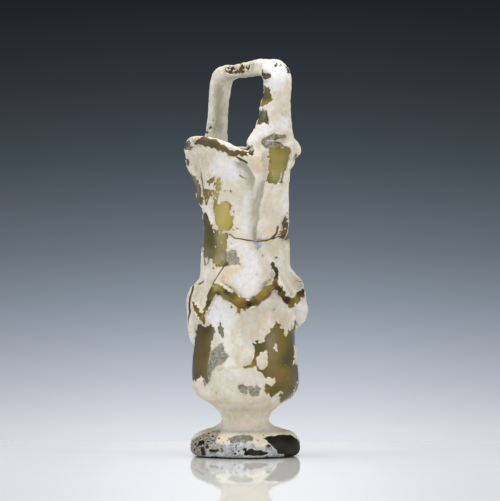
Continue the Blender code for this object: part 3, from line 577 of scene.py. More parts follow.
class KohlStudio(bpy.types.PropertyGroup):
    """Sizes and lights of the studio."""
    floor_behind: length("Floor behind", "From the bottle's axis to the floor's far edge", 0.0940)
    floor_width: length("Floor width", "The floor from left to right", 1.1)
    floor_front: length("Floor front", "From the axis to the floor's near edge", 0.55)
    floor_thickness: length("Floor thickness", "The floor's sheet", 0.0030)
    dome_radius: length("Backdrop radius", "The round backdrop", 1.7)
    dome_depth: length("Backdrop depth", "How far the backdrop reaches below the floor", 0.45)
    dome_height: length("Backdrop height", "How far it reaches above the floor", 1.6)
    glow: bpy.props.FloatProperty(
        name="Backdrop glow", description="Strength of the backdrop's light", default=1.03, unit="NONE",
    )
    glow_lift: length("Glow lift", "How much higher the glow lies for mirrors than for the camera", 0.22)
    key: power("Key light", "Soft light from above", 10.0)
    fill: power("Fill light", "Soft light from the front", 0.4)
    front: power("Foot light", "Small light aimed at the foot", 0.47)
    side: power("Side lights", "Soft light from each side", 4.2)


# How far from a part its distance is worked out, in millimetres, and a distance beyond all of them
FAR = 7.0
BEYOND = 1e9

# The shortest step that counts as a length
TINY = 1e-9


def mix(a, b, part):
    """The first value where the part is 0 and the second where it is 1."""
    return a + (b - a) * part


def smooth_step(t):
    """From 0 to 1 as t does, with soft ends."""
    t = np.clip(t, 0.0, 1.0)
    return t * t * (3.0 - 2.0 * t)


def bell(offset, spread):
    """1 at no offset, fading to nothing over the spread."""
    return np.exp(-((offset / spread) ** 2))


def bell_round(azimuth, middle, spread):
    """A bell over azimuths, which meets itself at the far side."""
    return bell((azimuth - middle + 180.0) % 360.0 - 180.0, spread)


def outwards(azimuth):
    """The level direction that an azimuth points in."""
    turn = math.radians(azimuth)
    return np.array([math.sin(turn), -math.cos(turn), 0.0])


def fused(a, b, reach):
    """The smaller of two distances, with a fillet where they come within reach of each other."""
    near = np.maximum(reach - np.abs(a - b), 0.0) / reach
    return np.minimum(a, b) - near * near * reach * 0.25


def smooth_through(stations, per_span):
    """A Catmull-Rom curve through the stations, as rows of an array."""
    rows = np.array(stations, float)
    rows = np.vstack([rows[:1], rows, rows[-1:]])
    t = (np.arange(per_span) / per_span)[:, None]
    spans = []
    for p, q, r, s in zip(rows, rows[1:], rows[2:], rows[3:]):
        square, cube = (2 * p - 5 * q + 4 * r - s, 3 * q - p - 3 * r + s)
        spans.append(0.5 * (2 * q + (r - p) * t + square * t * t + cube * t ** 3))
    return np.vstack(spans + [rows[-1:]])


def ripple(points, wavelength, use, waves=10):
    """Smooth seeded noise of about 1 either way: a sum of level waves in random directions."""
    random = np.random.default_rng(SEEDS[use])
    ways = random.normal(size=(waves, points.shape[1]))
    ways /= np.linalg.norm(ways, axis=1)[:, None]
    lengths = wavelength * random.uniform(0.65, 1.6, waves)
    starts = random.uniform(0.0, FULL_TURN, waves)
    total = np.zeros(len(points), np.float32)
    for way, size, start in zip(ways, lengths, starts):
        total += np.cos(points @ (way * 2.0 * math.pi / size) + start).astype(np.float32)
    return total * math.sqrt(2.0 / waves)


def layered(points, layers, waves=10):
    """Noise of several sizes added up: wavelength, seed and strength of each."""
    return sum(strength * ripple(points, wavelength, use, waves) for wavelength, use, strength in layers)


def near_rows(points, low, high):
    """The numbers of the points that lie in a box."""
    return np.flatnonzero(((points > low) & (points < high)).all(axis=1))


def chain(points, route, reach=FAR):
    """Distance from a row of balls joined up, each a place and a radius. Past the reach it says the reach."""
    route = np.array(route, float)
    places, radii = (route[:, :-1], route[:, -1])
    low = places.min(axis=0) - radii.max() - reach
    high = places.max(axis=0) + radii.max() + reach
    near = near_rows(points, low, high)
    columns = points[near].T
    found = np.full(len(near), reach)
    for a, b, start, end in zip(places, places[1:], radii, radii[1:]):
        along = b - a
        offsets = [column - part for column, part in zip(columns, a)]
        t = sum(offset * part for offset, part in zip(offsets, along)) / max(along @ along, TINY)
        t = np.clip(t, 0.0, 1.0)
        away = np.sqrt(sum((offset - t * part) ** 2 for offset, part in zip(offsets, along)))
        found = np.minimum(found, away - mix(start, end, t))
    result = np.full(len(points), reach)
    result[near] = found
    return result


def inside_by(points, outline, reach=9.0):
    """How far inside a flat outline each point lies: negative outside it, down to the reach."""
    corners = np.array(outline, float)
    low, high = (corners.min(axis=0) - reach, corners.max(axis=0) + reach)
    near = near_rows(points, low, high)
    x, y = points[near].T
    found = np.full(len(near), reach * reach)
    inside = np.zeros(len(near), bool)
    for a, b in zip(corners, np.roll(corners, -1, axis=0)):
        along = b - a
        t = np.clip(((x - a[0]) * along[0] + (y - a[1]) * along[1]) / max(along @ along, TINY), 0.0, 1.0)
        found = np.minimum(found, (x - a[0] - t * along[0]) ** 2 + (y - a[1] - t * along[1]) ** 2)
        side = a[0] + (y - a[1]) * (along[0] / (along[1] if along[1] else 1.0))
        inside ^= ((a[1] > y) != (b[1] > y)) & (x < side)
    result = np.full(len(points), -reach)
    result[near] = np.where(inside, 1.0, -1.0) * np.sqrt(found)
    return result


def beside(points, route):
    """How far to the left of a flat route each point lies, looking along it, and how far from it."""
    offset = np.full(len(points), BEYOND)
    found = np.full(len(points), BEYOND)
    for a, b in zip(np.array(route, float), np.array(route[1:], float)):
        along = (b - a) / math.dist(a, b)
        x, y = (points - a).T
        t = np.clip(x * along[0] + y * along[1], 0.0, math.dist(a, b))
        away = np.hypot(x - t * along[0], y - t * along[1])
        offset = np.where(away < found, x * along[1] - y * along[0], offset)
        found = np.minimum(found, away)
    return offset, found


def seen_at(points):
    """The pixel at which the photograph sees each point, given in millimetres."""
    depth = PHOTO_DISTANCE + points[:, 1]
    return np.stack([
        PHOTO_AXIS_U + PHOTO_FOCUS * points[:, 0] / depth,
        PHOTO_HEIGHT / 2 - PHOTO_FOCUS * (points[:, 2] - PHOTO_EYE) / depth,
    ], axis=1)


def place_at(u, v, depth):
    """The point in millimetres at a pixel and a depth along Y."""
    scale = (PHOTO_DISTANCE + depth) / PHOTO_FOCUS
    return np.array([(u - PHOTO_AXIS_U) * scale, depth, PHOTO_EYE - (v - PHOTO_HEIGHT / 2) * scale])


# The hollow pressed in under the lip: where, its three radii and how far it leans down to the right
DENT_PLACE = place_at(246.5, 171.5, -17.3)
DENT_SIZE = (5.0, 2.9, 3.9)
DENT_TURN = 36.0
DENT_ROOM = 6.0

# Unevenness of the outside: wavelength, seed and depth of each size, and waves in each
FORM_WAVES = ((15.0, "form", 0.16), (5.0, "hammer", 0.05))
FORM_COUNT = 7


def grid_of(counts):
    """The whole-number places of a grid, with one more axis for their parts."""
    return np.stack(np.meshgrid(*[np.arange(n) for n in counts], indexing="ij"), axis=-1)


class TurnedSection:
    """Signed distance from a turned outline, read from a grid of radius and height."""
    STEP = 0.25
    MARGIN = 6.0
    REACH = 60.0
    OFF_AXIS = 1e-6

    def __init__(self, outline):
        outline = np.array(outline, float)
        self.low = np.array([0.0, outline[:, 1].min() - self.MARGIN])
        self.count = np.ceil((outline.max(axis=0) + self.MARGIN - self.low) / self.STEP).astype(int) + 1
        spots = self.low + grid_of(self.count).reshape(-1, 2) * self.STEP + [self.OFF_AXIS, 0.0]
        across = np.vstack([outline, outline[::-1] * [-1.0, 1.0]])
        self.table = -inside_by(spots, across, self.REACH).reshape(self.count).astype(np.float32)

    def distance(self, radius, height):
        """The distance at each radius and height, in millimetres."""
        place = (np.stack([radius, height]) - self.low[:, None]) / self.STEP
        place = np.clip(place, 0.0, (self.count - 1.001)[:, None])
        i, j = place.astype(int)
        s, t = place - (i, j)
        low = mix(self.table[i, j], self.table[i + 1, j], s)
        high = mix(self.table[i, j + 1], self.table[i + 1, j + 1], s)
        return mix(low, high, t)


def elliptic_arc(middle, across, up, degrees):
    """Points on an ellipse round a middle, at some angles from its right side."""
    turn = np.radians(np.array(degrees, float))
    return np.stack([middle[0] + across * np.cos(turn), middle[1] + up * np.sin(turn)], axis=1)


class Bottle:
    """The bottle's glass as a signed distance in millimetres."""
    PROBE = 0.12

    def __init__(self, sizes):
        for name in names_of(sizes):
            setattr(self, name, getattr(sizes, name) * TO_MM)
        self.lip_height = self.overall_height - self.basket_rise
        self.outside = smooth_through(self.body_stations(), 4)
        self.section = TurnedSection(self.half_section())
        front_strap = self.strap_stations(self.strap_width, self.strap_length, 0.25)
        left_strap = self.strap_stations(self.left_strap_width, self.left_strap_length, 0.2)
        self.thread = self.thread_route()
        self.parts = []
        self.add_ribbon("front strap", FRONT_STRAP_AZIMUTH, smooth_through(front_strap, 4), STRAP_ROUNDING)
        self.add_ribbon("left strap", LEFT_STRAP_AZIMUTH, smooth_through(left_strap, 4), STRAP_ROUNDING)
        self.add_chain("thread", self.thread)
        for route in FRONT_RIDGES.values():
            self.add_chain("front ridges", self.on_body(route))
        for route in [*SIDE_RIDGES.values(), *self.tails()]:
            self.add_chain("side ridges", route)
        basket = smooth_through(self.basket_stations(), 3)
        self.add_ribbon("basket", BASKET_AZIMUTH, basket, BASKET_ROUNDING)
        for part, route in (("root web", ROOT_WEB), ("ledge", LEDGE), ("leaf", LEDGE_LEAF)):
            self.add_chain(part, [(*place_at(u, v, depth), radius) for u, v, depth, radius in route])

    def add_chain(self, part, route):
        """One more row of balls to fuse to the glass."""
        route = np.array(route, float)
        self.add_part(part, route[:, 2], lambda points: chain(points, route))

    def add_ribbon(self, part, azimuth, route, rounding):
        """One more flat strap to fuse to the glass."""
        self.add_part(part, route[:, 1], lambda points: self.ribbon(points, azimuth, route, rounding))

    def add_part(self, part, heights, distance):
        """Keeps a part's distance with its fillet and the heights between which it lies."""
        self.parts.append((heights.min(), heights.max(), FILLETS[part], distance))

    def foot_curve(self):
        """The foot's rounded edge, tight underneath and broad on top."""
        below, above = (self.foot_edge, 1.9 * self.foot_edge)
        low, high = (self.foot_widest, self.foot_top - self.foot_widest)
        under = elliptic_arc((self.foot_radius - below, low), below, low, range(-90, 0, 10))
        over = elliptic_arc((self.foot_radius - above, low), above, high, range(0, 61, 10))
        return np.vstack([under, over])

    def body_stations(self):
        """Radius and height of the outside, from the foot's top up to the side of the lip."""
        foot = self.foot_curve()[-1]
        stem, stem_up = (self.stem_radius, self.stem_height)
        widen, rise = (self.belly_radius - stem, self.belly_height - stem_up)
        flare, mouth = (self.lip_radius - self.tube_radius, self.lip_height - self.tube_end)
        belly = np.array([self.belly_radius, self.belly_height])
        waist = np.array([self.waist_radius, self.waist_height])
        tube = np.array([self.tube_radius, self.tube_start])
        return [
            foot,
            (mix(foot[0], stem, 0.36), mix(foot[1], stem_up, 0.20)),
            (mix(foot[0], stem, 0.68), mix(foot[1], stem_up, 0.40)),
            (mix(foot[0], stem, 0.92), mix(foot[1], stem_up, 0.72)),
            (stem, stem_up),
            (stem + 0.05 * widen, stem_up + 0.10 * rise),
            (stem + 0.15 * widen, stem_up + 0.21 * rise),
            (stem + 0.47 * widen, stem_up + 0.37 * rise),
            (stem + 0.76 * widen, stem_up + 0.49 * rise),
            (stem + 0.94 * widen, stem_up + 0.68 * rise),
            belly,
            mix(belly, waist, np.array([0.36, 0.55])),
            waist,
            mix(waist, tube, np.array([0.38, 0.36])),
            mix(waist, tube, np.array([0.76, 0.70])),
            tube,
            (self.tube_radius, mix(self.tube_start, self.tube_end, 0.55)),
            (self.tube_radius + 0.05 * flare, self.tube_end),
            (self.tube_radius + 0.33 * flare, self.tube_end + 0.52 * mouth),
            (self.tube_radius + 0.64 * flare, self.tube_end + 0.80 * mouth),
            (self.lip_radius, self.lip_height),
        ]

    def half_section(self):
        """From the axis underneath, up the outside, over the lip and down the inside to the floor."""
        edge, heights = (self.lip_edge, self.outside[:, 1])
        lip = elliptic_arc((self.lip_radius - edge, self.lip_height), edge, edge, range(20, 201, 20))
        inner = self.outside[(heights >= self.belly_height) & (heights < self.lip_height - 2.5)]
        walls = inner[::-1] - [self.wall, 0.0]
        depth = self.belly_height - self.floor
        bowl = elliptic_arc((0.0, self.belly_height), walls[-1][0], depth, range(-10, -91, -10))
        parts = (self.foot_curve(), self.outside[1:-1], lip, walls, np.maximum(bowl, 0.0))
        return np.vstack([[(0.0, 0.0)], *parts])

    def radius_at(self, height):
        """The outside radius of the turned body above the stem."""
        upper = self.outside[self.outside[:, 1] >= self.stem_height]
        return np.interp(height, upper[:, 1], upper[:, 0])

    def basket_stations(self):
        """Reach, height, width and thickness along the basket handle, from front to back."""
        bar = self.overall_height - self.basket_thickness / 2 - 0.4
        front, back = (self.lip_radius - 2.6, self.lip_radius - 5.5)
        wide, slim, thick = (self.basket_width, self.basket_slim, self.basket_thickness)
        limb = bar - self.lip_height
        near, far = (5.2, 7.6)
        return [
            (front, self.lip_height - 3.5, wide * 1.50, thick * 1.15),
            (front, self.lip_height + 0.10 * limb, wide * 1.36, thick * 1.12),
            (front, self.lip_height + 0.34 * limb, wide * 1.06, thick),
            (front, self.lip_height + 0.58 * limb, wide * 0.98, thick),
            (front + 0.2, bar - near, wide * 1.07, thick),
            (front - 0.29 * near, bar - 0.29 * near, wide * 1.09, thick * 1.05),
            (front - near, bar, wide * 1.05, thick * 1.02),
            (0.25 * front, bar - 0.35, wide * 0.82, thick * 0.84),
            (-0.30 * back, bar - 0.9, slim * 1.02, thick * 0.78),
            (-back + 0.86 * far, bar - 0.9, slim * 1.04, thick * 0.86),
            (-back + 0.24 * far, bar - 0.34 * far, slim * 1.06, thick * 0.92),
            (-back, bar - 1.05 * far, slim * 1.04, thick * 0.84),
            (-back - 0.7, self.lip_height + 0.52 * limb, slim * 1.00, thick * 0.80),
            (-back - 1.2, self.lip_height + 0.36 * limb, slim * 1.02, thick * 0.84),
            (-back - 2.0, self.lip_height + 0.18 * limb, slim * 1.14, thick * 0.92),
            (-back - 2.6, self.lip_height + 0.02 * limb, slim * 1.30, thick),
            (-back - 1.8, self.lip_height - 3.5, slim * 1.20, thick * 0.60),
        ]

    def strap_stations(self, width, run, spread):
        """Reach, height, width and thickness of a strap, flat below and standing out under the lip."""
        rows = []
        shape = ((0.00, -0.40, 1.10), (0.10, 0.00, 1.32), (0.34, 0.10, 1.28), (0.50, 0.55, 1.10),
                 (0.66, 0.95, 0.98), (0.84, 1.00, 1.00 + 0.6 * spread), (1.02, 0.40, 1.00 + spread))
        for part, stand, wide in shape:
            height = self.lip_height - run + part * run
            inner = self.radius_at(height) - 0.8
            outer = mix(inner + self.strap_thickness, self.lip_radius, stand)
            rows.append(((inner + outer) / 2, height, width * wide, outer - inner))
        return rows

    def on_body(self, route):
        """The places of a route in pixels on the turned body, each as far off it as the route says."""
        places = []
        for u, v, proud, radius in route:
            depth = 0.0
            for _ in range(4):
                x, _, z = place_at(u, v, depth)
                reach = self.radius_at(z) + proud
                depth = -math.sqrt(max(reach * reach - x * x, 0.0))
            places.append((*place_at(u, v, depth), radius))
        return places

    def thread_route(self):
        """The thread: its front as the photograph shows it, and a plain zigzag round the back."""
        front = [(u, v, 0.7 + 0.8 * (v < 296), self.thread_radius) for u, v in FRONT_TRAIL]
        seen = smooth_through(self.on_body(front), 2)
        azimuths = np.degrees(np.arctan2(seen[:, 0], -seen[:, 1]))
        hidden = []
        start, end = (azimuths[-1] + THREAD_STEP, azimuths[0] + (360.0 - THREAD_STEP))
        for azimuth in np.arange(start, end, THREAD_STEP):
            part = (azimuth - ZIGZAG_FIRST_PEAK) / (360.0 / ZIGZAG_PEAKS) % 1.0
            peak = abs(2.0 * part - 1.0)
            sag = self.zigzag_sag * bell_round(azimuth, ZIGZAG_SAG_AZIMUTH, ZIGZAG_SAG_SPREAD)
            height = self.zigzag_height + self.zigzag_swing * (2.0 * peak - 1.0) - sag
            place = outwards(azimuth) * (self.radius_at(height) + mix(0.5, 1.4, peak))
            hidden.append((place[0], place[1], height, self.thread_radius))
        return np.vstack([seen, hidden, seen[:1]])

    def tails(self):
        """The ridges drawn up from the thread's peaks round the back."""
        peak = self.zigzag_height + self.zigzag_swing
        for number in range(ZIGZAG_PEAKS):
            azimuth = (ZIGZAG_FIRST_PEAK + number * 360.0 / ZIGZAG_PEAKS + 180.0) % 360.0 - 180.0
            if abs(azimuth) < TAILS_START:
                continue
            yield [
                (*(outwards(azimuth) * (self.radius_at(peak + up) + proud))[:2], peak + up, radius)
                for up, proud, radius in TAIL
            ]

    def worked_back(self, points):
        """Radius and height of each point before the mouth was drawn up, pressed down and shifted."""
        azimuth = np.degrees(np.arctan2(points[:, 0], -points[:, 1]))
        lift = (
            self.lip_rise * bell_round(azimuth, LIP_RISE_AZIMUTH, LIP_RISE_SPREAD)
            - self.lip_dip * bell_round(azimuth, LIP_DIP_AZIMUTH, LIP_DIP_SPREAD)
        )
        height = points[:, 2]
        for _ in range(3):
            height = points[:, 2] - lift * self.near_lip(height)
        return np.hypot(points[:, 0] + self.mouth_shift * self.near_lip(height), points[:, 1]), height

    def near_lip(self, height):
        """0 up to the end of the straight tube and 1 at the lip."""
        return smooth_step((height - self.tube_end) / (self.lip_height - self.tube_end))

    def ribbon(self, points, azimuth, route, rounding, reach=FAR):
        """Distance from a flat strap that bends in the azimuth's plane."""
        out, across = (outwards(azimuth), outwards(azimuth + 90.0))
        aside = points @ across
        flat = np.stack([points @ out, points[:, 2]], axis=1)
        room = reach + route[:, 2].max() / 2
        low, high = (route[:, :2].min(axis=0) - room, route[:, :2].max(axis=0) + room)
        near = np.flatnonzero(((flat > low) & (flat < high)).all(axis=1) & (np.abs(aside) < room))
        aside = np.abs(aside[near])
        out, up = flat[near].T
        gap = np.full(len(near), BEYOND)
        width, thick = (np.zeros(len(near)), np.zeros(len(near)))
        for a, b in zip(route, route[1:]):
            along = b[:2] - a[:2]
            t = ((out - a[0]) * along[0] + (up - a[1]) * along[1]) / max(along @ along, TINY)
            t = np.clip(t, 0.0, 1.0)
            away = np.hypot(out - a[0] - t * along[0], up - a[1] - t * along[1])
            closer = away < gap
            gap = np.where(closer, away, gap)
            width = np.where(closer, mix(a[2], b[2], t), width)
            thick = np.where(closer, mix(a[3], b[3], t), thick)
        corner = rounding * thick
        over = aside - width / 2 + corner
        off = gap - thick / 2 + corner
        found = np.full(len(points), reach)
        inside = np.minimum(np.maximum(over, off), 0)
        found[near] = np.hypot(np.maximum(over, 0), np.maximum(off, 0)) + inside - corner
        return found

    def distance(self, points):
        """Signed distance from the glass, negative inside it."""
        order = np.argsort(points[:, 2])
        points = points[order]
        radius, height = self.worked_back(points)
        glass = self.section.distance(radius, height)
        outer = smooth_step((radius - (self.radius_at(height) - self.wall * 0.75)) / (self.wall * 0.6))
        for low, high, reach, far in self.parts:
            rows = slice(*np.searchsorted(points[:, 2], (low - FAR, high + FAR)))
            glass[rows] = fused(glass[rows], far(points[rows]), reach)
        rows = slice(*np.searchsorted(points[:, 2], (DENT_PLACE[2] - DENT_ROOM, DENT_PLACE[2] + DENT_ROOM)))
        cut = -fused(-glass[rows], self.dent(points[rows]), 0.3)
        glass[rows] = mix(glass[rows], cut, outer[rows])
        glass += outer * layered(points, FORM_WAVES, FORM_COUNT)
        found = np.empty_like(glass)
        found[order] = glass
        return found

    def dent(self, points):
        """Distance from the hollow pressed in under the lip, a ball drawn out down to the right."""
        x, y, z = (points - DENT_PLACE).T
        turn = math.radians(DENT_TURN)
        along, aside = (x * math.cos(turn) - z * math.sin(turn), x * math.sin(turn) + z * math.cos(turn))
        long, wide, deep = DENT_SIZE
        return (np.sqrt((along / long) ** 2 + (aside / wide) ** 2 + (y / deep) ** 2) - 1.0) * wide

    def bore_gap(self, points):
        """How far outside the inner wall each point lies. It is about 0 on the bore's surface."""
        radius, height = self.worked_back(points)
        inner = self.radius_at(np.maximum(height, self.belly_height)) - self.wall
        depth = (self.belly_height - height) / (self.belly_height - self.floor)
        below = np.hypot(radius / inner, depth) * inner
        gap = np.where(height < self.belly_height, below, radius) - inner
        return np.where(height > self.lip_height - 2.0, gap + (height - self.lip_height + 2.0), gap)

    def normals(self, points):
        """Outward directions, by four tries round each point."""
        total = np.zeros_like(points)
        for way in ((1, -1, -1), (-1, -1, 1), (-1, 1, -1), (1, 1, 1)):
            total += self.distance(points + np.array(way) * self.PROBE)[:, None] * way
        return total / np.maximum(np.linalg.norm(total, axis=1), TINY)[:, None]

    def settled(self, points):
        """The points moved onto the glass's surface."""
        return points - self.distance(points)[:, None] * self.normals(points)


# Meshing: a block's side and how near the surface passes it, in steps, and how many points at a time
BLOCK = 4
NEAR_STEPS = 6.0
BATCH = 400000


def sampled(distance, low, high, step):
    """The distance on a grid, worked out only in blocks that the surface may pass through."""
    counts = np.ceil((high - low) / (step * BLOCK)).astype(int)
    corners = grid_of(counts)
    middles = low + (corners * BLOCK + (BLOCK - 1) / 2) * step
    coarse = distance(middles.reshape(-1, 3)).reshape(counts)
    near = np.abs(coarse) < NEAR_STEPS * step
    field = coarse.astype(np.float32)
    for axis in range(3):
        field = np.repeat(field, BLOCK, axis)
    spots = (corners[near][:, None, :] * BLOCK + grid_of([BLOCK] * 3).reshape(-1, 3)[None]).reshape(-1, 3)
    for start in range(0, len(spots), BATCH):
        part = spots[start:start + BATCH]
        field[tuple(part.T)] = distance(low + part * step)
    return field


def surface_net(field, low, step):
    """Corners and four-sided faces of the surface where the field changes sign."""
    inside = field < 0
    cells = np.array(field.shape)
    keys, spots, faces = ([], [], [])
    for axis in range(3):
        unit = np.eye(3, dtype=int)[axis]
        across = [np.eye(3, dtype=int)[(axis + k) % 3] for k in (1, 2)]
        near = [slice(1, -1)] * 3
        far = list(near)
        near[axis], far[axis] = (slice(1, -2), slice(2, -1))
        edges = np.argwhere(inside[tuple(near)] != inside[tuple(far)]) + 1
        first, second = (field[tuple(edges.T)], field[tuple((edges + unit).T)])
        crossing = edges + (first / (first - second))[:, None] * unit
        corners = [edges - across[0] * i - across[1] * j for i, j in ((0, 0), (1, 0), (1, 1), (0, 1))]
        quad = np.stack([np.ravel_multi_index(tuple(c.T), cells) for c in corners], axis=1)
        keys.append(quad.T.ravel())
        spots.append(np.tile(crossing, (4, 1)))
        faces.append(np.where((first < 0)[:, None], quad, quad[:, ::-1]))
    keys, place = np.unique(np.concatenate(keys), return_inverse=True)
    spots = np.vstack(spots)
    count = np.bincount(place)
    points = np.stack([np.bincount(place, spots[:, k]) / count for k in range(3)], axis=1)
    return low + points * step, np.searchsorted(keys, np.vstack(faces))


def bottle_surface(bottle, step):
    """The glass's surface as settled points and four-sided faces."""
    room = 2.0
    low = np.array(LOWEST) * TO_MM - room
    high = np.array(HIGHEST) * TO_MM + room
    points, faces = surface_net(sampled(bottle.distance, low, high, step), low, step)
    return bottle.settled(points), faces


def bottle_triangles(bottle, step):
    """The same surface as triangles."""
    points, quads = bottle_surface(bottle, step)
    return points, np.vstack([quads[:, [0, 1, 2]], quads[:, [0, 2, 3]]])


def edges_of(triangles):
    """The undirected edges, and for each triangle the numbers of its three edges."""
    pairs = np.sort(np.stack([triangles, np.roll(triangles, -1, axis=1)], axis=2).reshape(-1, 2), axis=1)
    keys, place = np.unique(pairs[:, 0] * (triangles.max() + 1) + pairs[:, 1], return_inverse=True)
    edges = np.stack([keys // (triangles.max() + 1), keys % (triangles.max() + 1)], axis=1)
    return edges, place.reshape(-1, 3)


def rolled(rows, turns):
    """Each row turned left by its own number of places."""
    return np.take_along_axis(rows, (np.arange(rows.shape[1]) + turns[:, None]) % rows.shape[1], axis=1)


def numbered(cut, start):
    """A new point's number for each edge that is cut, and -1 for the others."""
    return np.where(cut, start + np.cumsum(cut) - 1, -1)


def refined(points, triangles, near):
    """Triangles cut finer wherever an edge has an end that is near."""
    edges, place = edges_of(triangles)
    cut = near[edges].any(axis=1)
    middle = numbered(cut, len(points))
    points = np.vstack([points, points[edges[cut]].mean(axis=1)])
    marks = cut[place]
    count = marks.sum(axis=1)
    made = [triangles[count == 0]]
    for number in (1, 2, 3):
        rows = count == number
        turns = np.argmax(marks[rows], axis=1) if number == 1 else np.argmin(marks[rows], axis=1) + 1
        a, b, c = rolled(triangles[rows], turns).T
        ab, bc, ca = rolled(middle[place[rows]], turns).T
        if number == 1:
            made += [np.stack(t, axis=1) for t in ((a, ab, c), (ab, b, c))]
        elif number == 2:
            made += [np.stack(t, axis=1) for t in ((ab, b, bc), (a, ab, bc), (a, bc, c))]
        else:
            made += [np.stack(t, axis=1) for t in ((a, ab, ca), (ab, b, bc), (ca, bc, c), (ab, bc, ca))]
    return points, np.vstack(made)


def clipped(points, triangles, keep):
    """The part of the surface where keep is above 0, cut at its zero line, and keep at its points."""
    least = 0.02
    keep = np.where(np.abs(keep) < least, np.where(keep < 0, -least, least), keep)
    edges, place = edges_of(triangles)
    first, second = keep[edges].T
    cut = (first > 0) != (second > 0)
    middle = numbered(cut, len(points))
    t = (first[cut] / (first[cut] - second[cut]))[:, None]
    points = np.vstack([points, mix(points[edges[cut, 0]], points[edges[cut, 1]], t)])
    kept = keep[triangles] > 0
    count = kept.sum(axis=1)
    made = [triangles[count == 3]]
    rows = count == 1
    turns = np.argmax(kept[rows], axis=1)
    a = rolled(triangles[rows], turns)[:, 0]
    ab, _, ca = rolled(middle[place[rows]], turns).T
    made.append(np.stack([a, ab, ca], axis=1))
    rows = count == 2
    turns = np.argmin(kept[rows], axis=1) + 1
    a, b, _ = rolled(triangles[rows], turns).T
    _, bc, ca = rolled(middle[place[rows]], turns).T
    made += [np.stack([a, b, bc], axis=1), np.stack([a, bc, ca], axis=1)]
    made = np.vstack(made)
    used, made = np.unique(made, return_inverse=True)
    values = np.concatenate([keep, np.zeros(cut.sum())])
    return points[used], made.reshape(-1, 3), values[used]


def shell(points, triangles, normals, over, under):
    """A closed shell: the surface lifted by over, sunk by under, and walls along its edges."""
    count = len(points)
    directed = np.vstack([triangles[:, [0, 1]], triangles[:, [1, 2]], triangles[:, [2, 0]]])
    keys = directed[:, 0] * count + directed[:, 1]
    back = directed[:, 1] * count + directed[:, 0]
    rim = directed[~np.isin(keys, back)]
    walls = np.vstack([
        np.stack([rim[:, 1], rim[:, 0], rim[:, 0] + count], axis=1),
        np.stack([rim[:, 1], rim[:, 0] + count, rim[:, 1] + count], axis=1),
    ])
    places = np.vstack([points + normals * over[:, None], points - normals * under[:, None]])
    return places, np.vstack([triangles, triangles[:, ::-1] + count, walls])


# Faces that meet at a sharper angle than this, in degrees, keep a sharp edge
SHARP_PIECE = 50.0
SHARP_STAGE = 40.0


def make_piece(name, points, faces, attributes, material):
    """A mesh object in metres that rides on the bottle's body and stands for its node."""
    mesh = bpy.data.meshes.new(name)
    size = faces.shape[1]
    mesh.vertices.add(len(points))
    mesh.vertices.foreach_set("co", (points / TO_MM).astype(np.float32).ravel())
    mesh.loops.add(faces.size)
    mesh.loops.foreach_set("vertex_index", faces.astype(np.int32).ravel())
    mesh.polygons.add(len(faces))
    mesh.polygons.foreach_set("loop_start", np.arange(0, faces.size, size, dtype=np.int32))
    mesh.update(calc_edges=True)
    mesh.validate()
    for label, values in attributes.items():
        mesh.attributes.new(label, "FLOAT", "POINT").data.foreach_set("value", values.astype(np.float32))
    mesh.shade_smooth()
    mesh.set_sharp_from_angle(angle=math.radians(SHARP_PIECE))
    mesh.materials.append(material)
    made = bpy.data.objects.new(name, mesh)
    bpy.context.scene.collection.objects.link(made)
    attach(made, BODY)
    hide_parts(NODE)


# Noise that frays what the photograph shows: wavelengths in millimetres, and how far it moves in pixels
WOBBLE_WAVE = 3.2
FINE_WAVE = 1.3
WOBBLE = 0.65
FINE_WOBBLE = 0.5
STEADY_WOBBLE = 0.35

# Noise that lays bare glass and film where the photograph doesn't reach: wavelength, seed and strength
PATCH_WAVES = ((17.0, "flake", 1.0), (5.0, "ragged", 0.26), (1.6, "edge", 0.12))
FILM_WAVES = ((9.0, "film", 1.0), (3.0, "lump", 0.3), (1.3, "edge", 0.1))
LINING_WAVES = ((11.0, "lining", 1.0), (3.0, "ragged", 0.4))

# What the noise has to pass for flecks, worn places, bare patches, specks, film and gaps in the lining
FLECK_LEVEL = 2.3
WORN_LEVEL = 1.75
PATCH_LEVEL = 1.55
FRONT_SPECK_LEVEL = 2.95
HIDDEN_SPECK_LEVEL = 3.0
FILM_LEVEL = 1.45
LINING_LEVEL = 2.0

# Stains, painted highlights and painted shade: zones and softness in front; strength, wavelength, seed, slope
# and level on the hidden sides
STAINS_AND_PAINTED_LIGHT = {
    "pale": (PALE_AND_LIT_ZONES, 6.0, 1.0, 13.0, "pale", 0.8, 0.2),
    "peach": (PEACH_ZONES, 5.0, 0.6, 9.0, "stain", 1.0, 0.7),
    "shade_and_smudge": (SHADE_AND_SMUDGE_ZONES, 4.0, 0.6, 7.0, "soil", 1.0, 0.6),
}

# How far from a bare route its distance is worked out, in pixels
ROUTE_REACH = 60.0

# How far from its edge the crust thins out, in millimetres, and the least that it stands off
EDGE_WIDTH = 0.45
LEAST_CRUST = 0.05


def within(pixels, outline, soft):
    """1 inside an outline and 0 outside it, with a soft margin in pixels."""
    return smooth_step(inside_by(pixels, outline) / (2.0 * soft) + 0.5)


def from_spot(pixels, u, v, across=1.0, up=1.0):
    """How far each pixel lies from a spot, in the spot's own widths and heights."""
    return np.hypot((pixels[:, 0] - u) / across, (pixels[:, 1] - v) / up)


def low_down(points, height, fade):
    """0 above a height and 1 well below it."""
    return smooth_step((height - points[:, 2]) / fade)


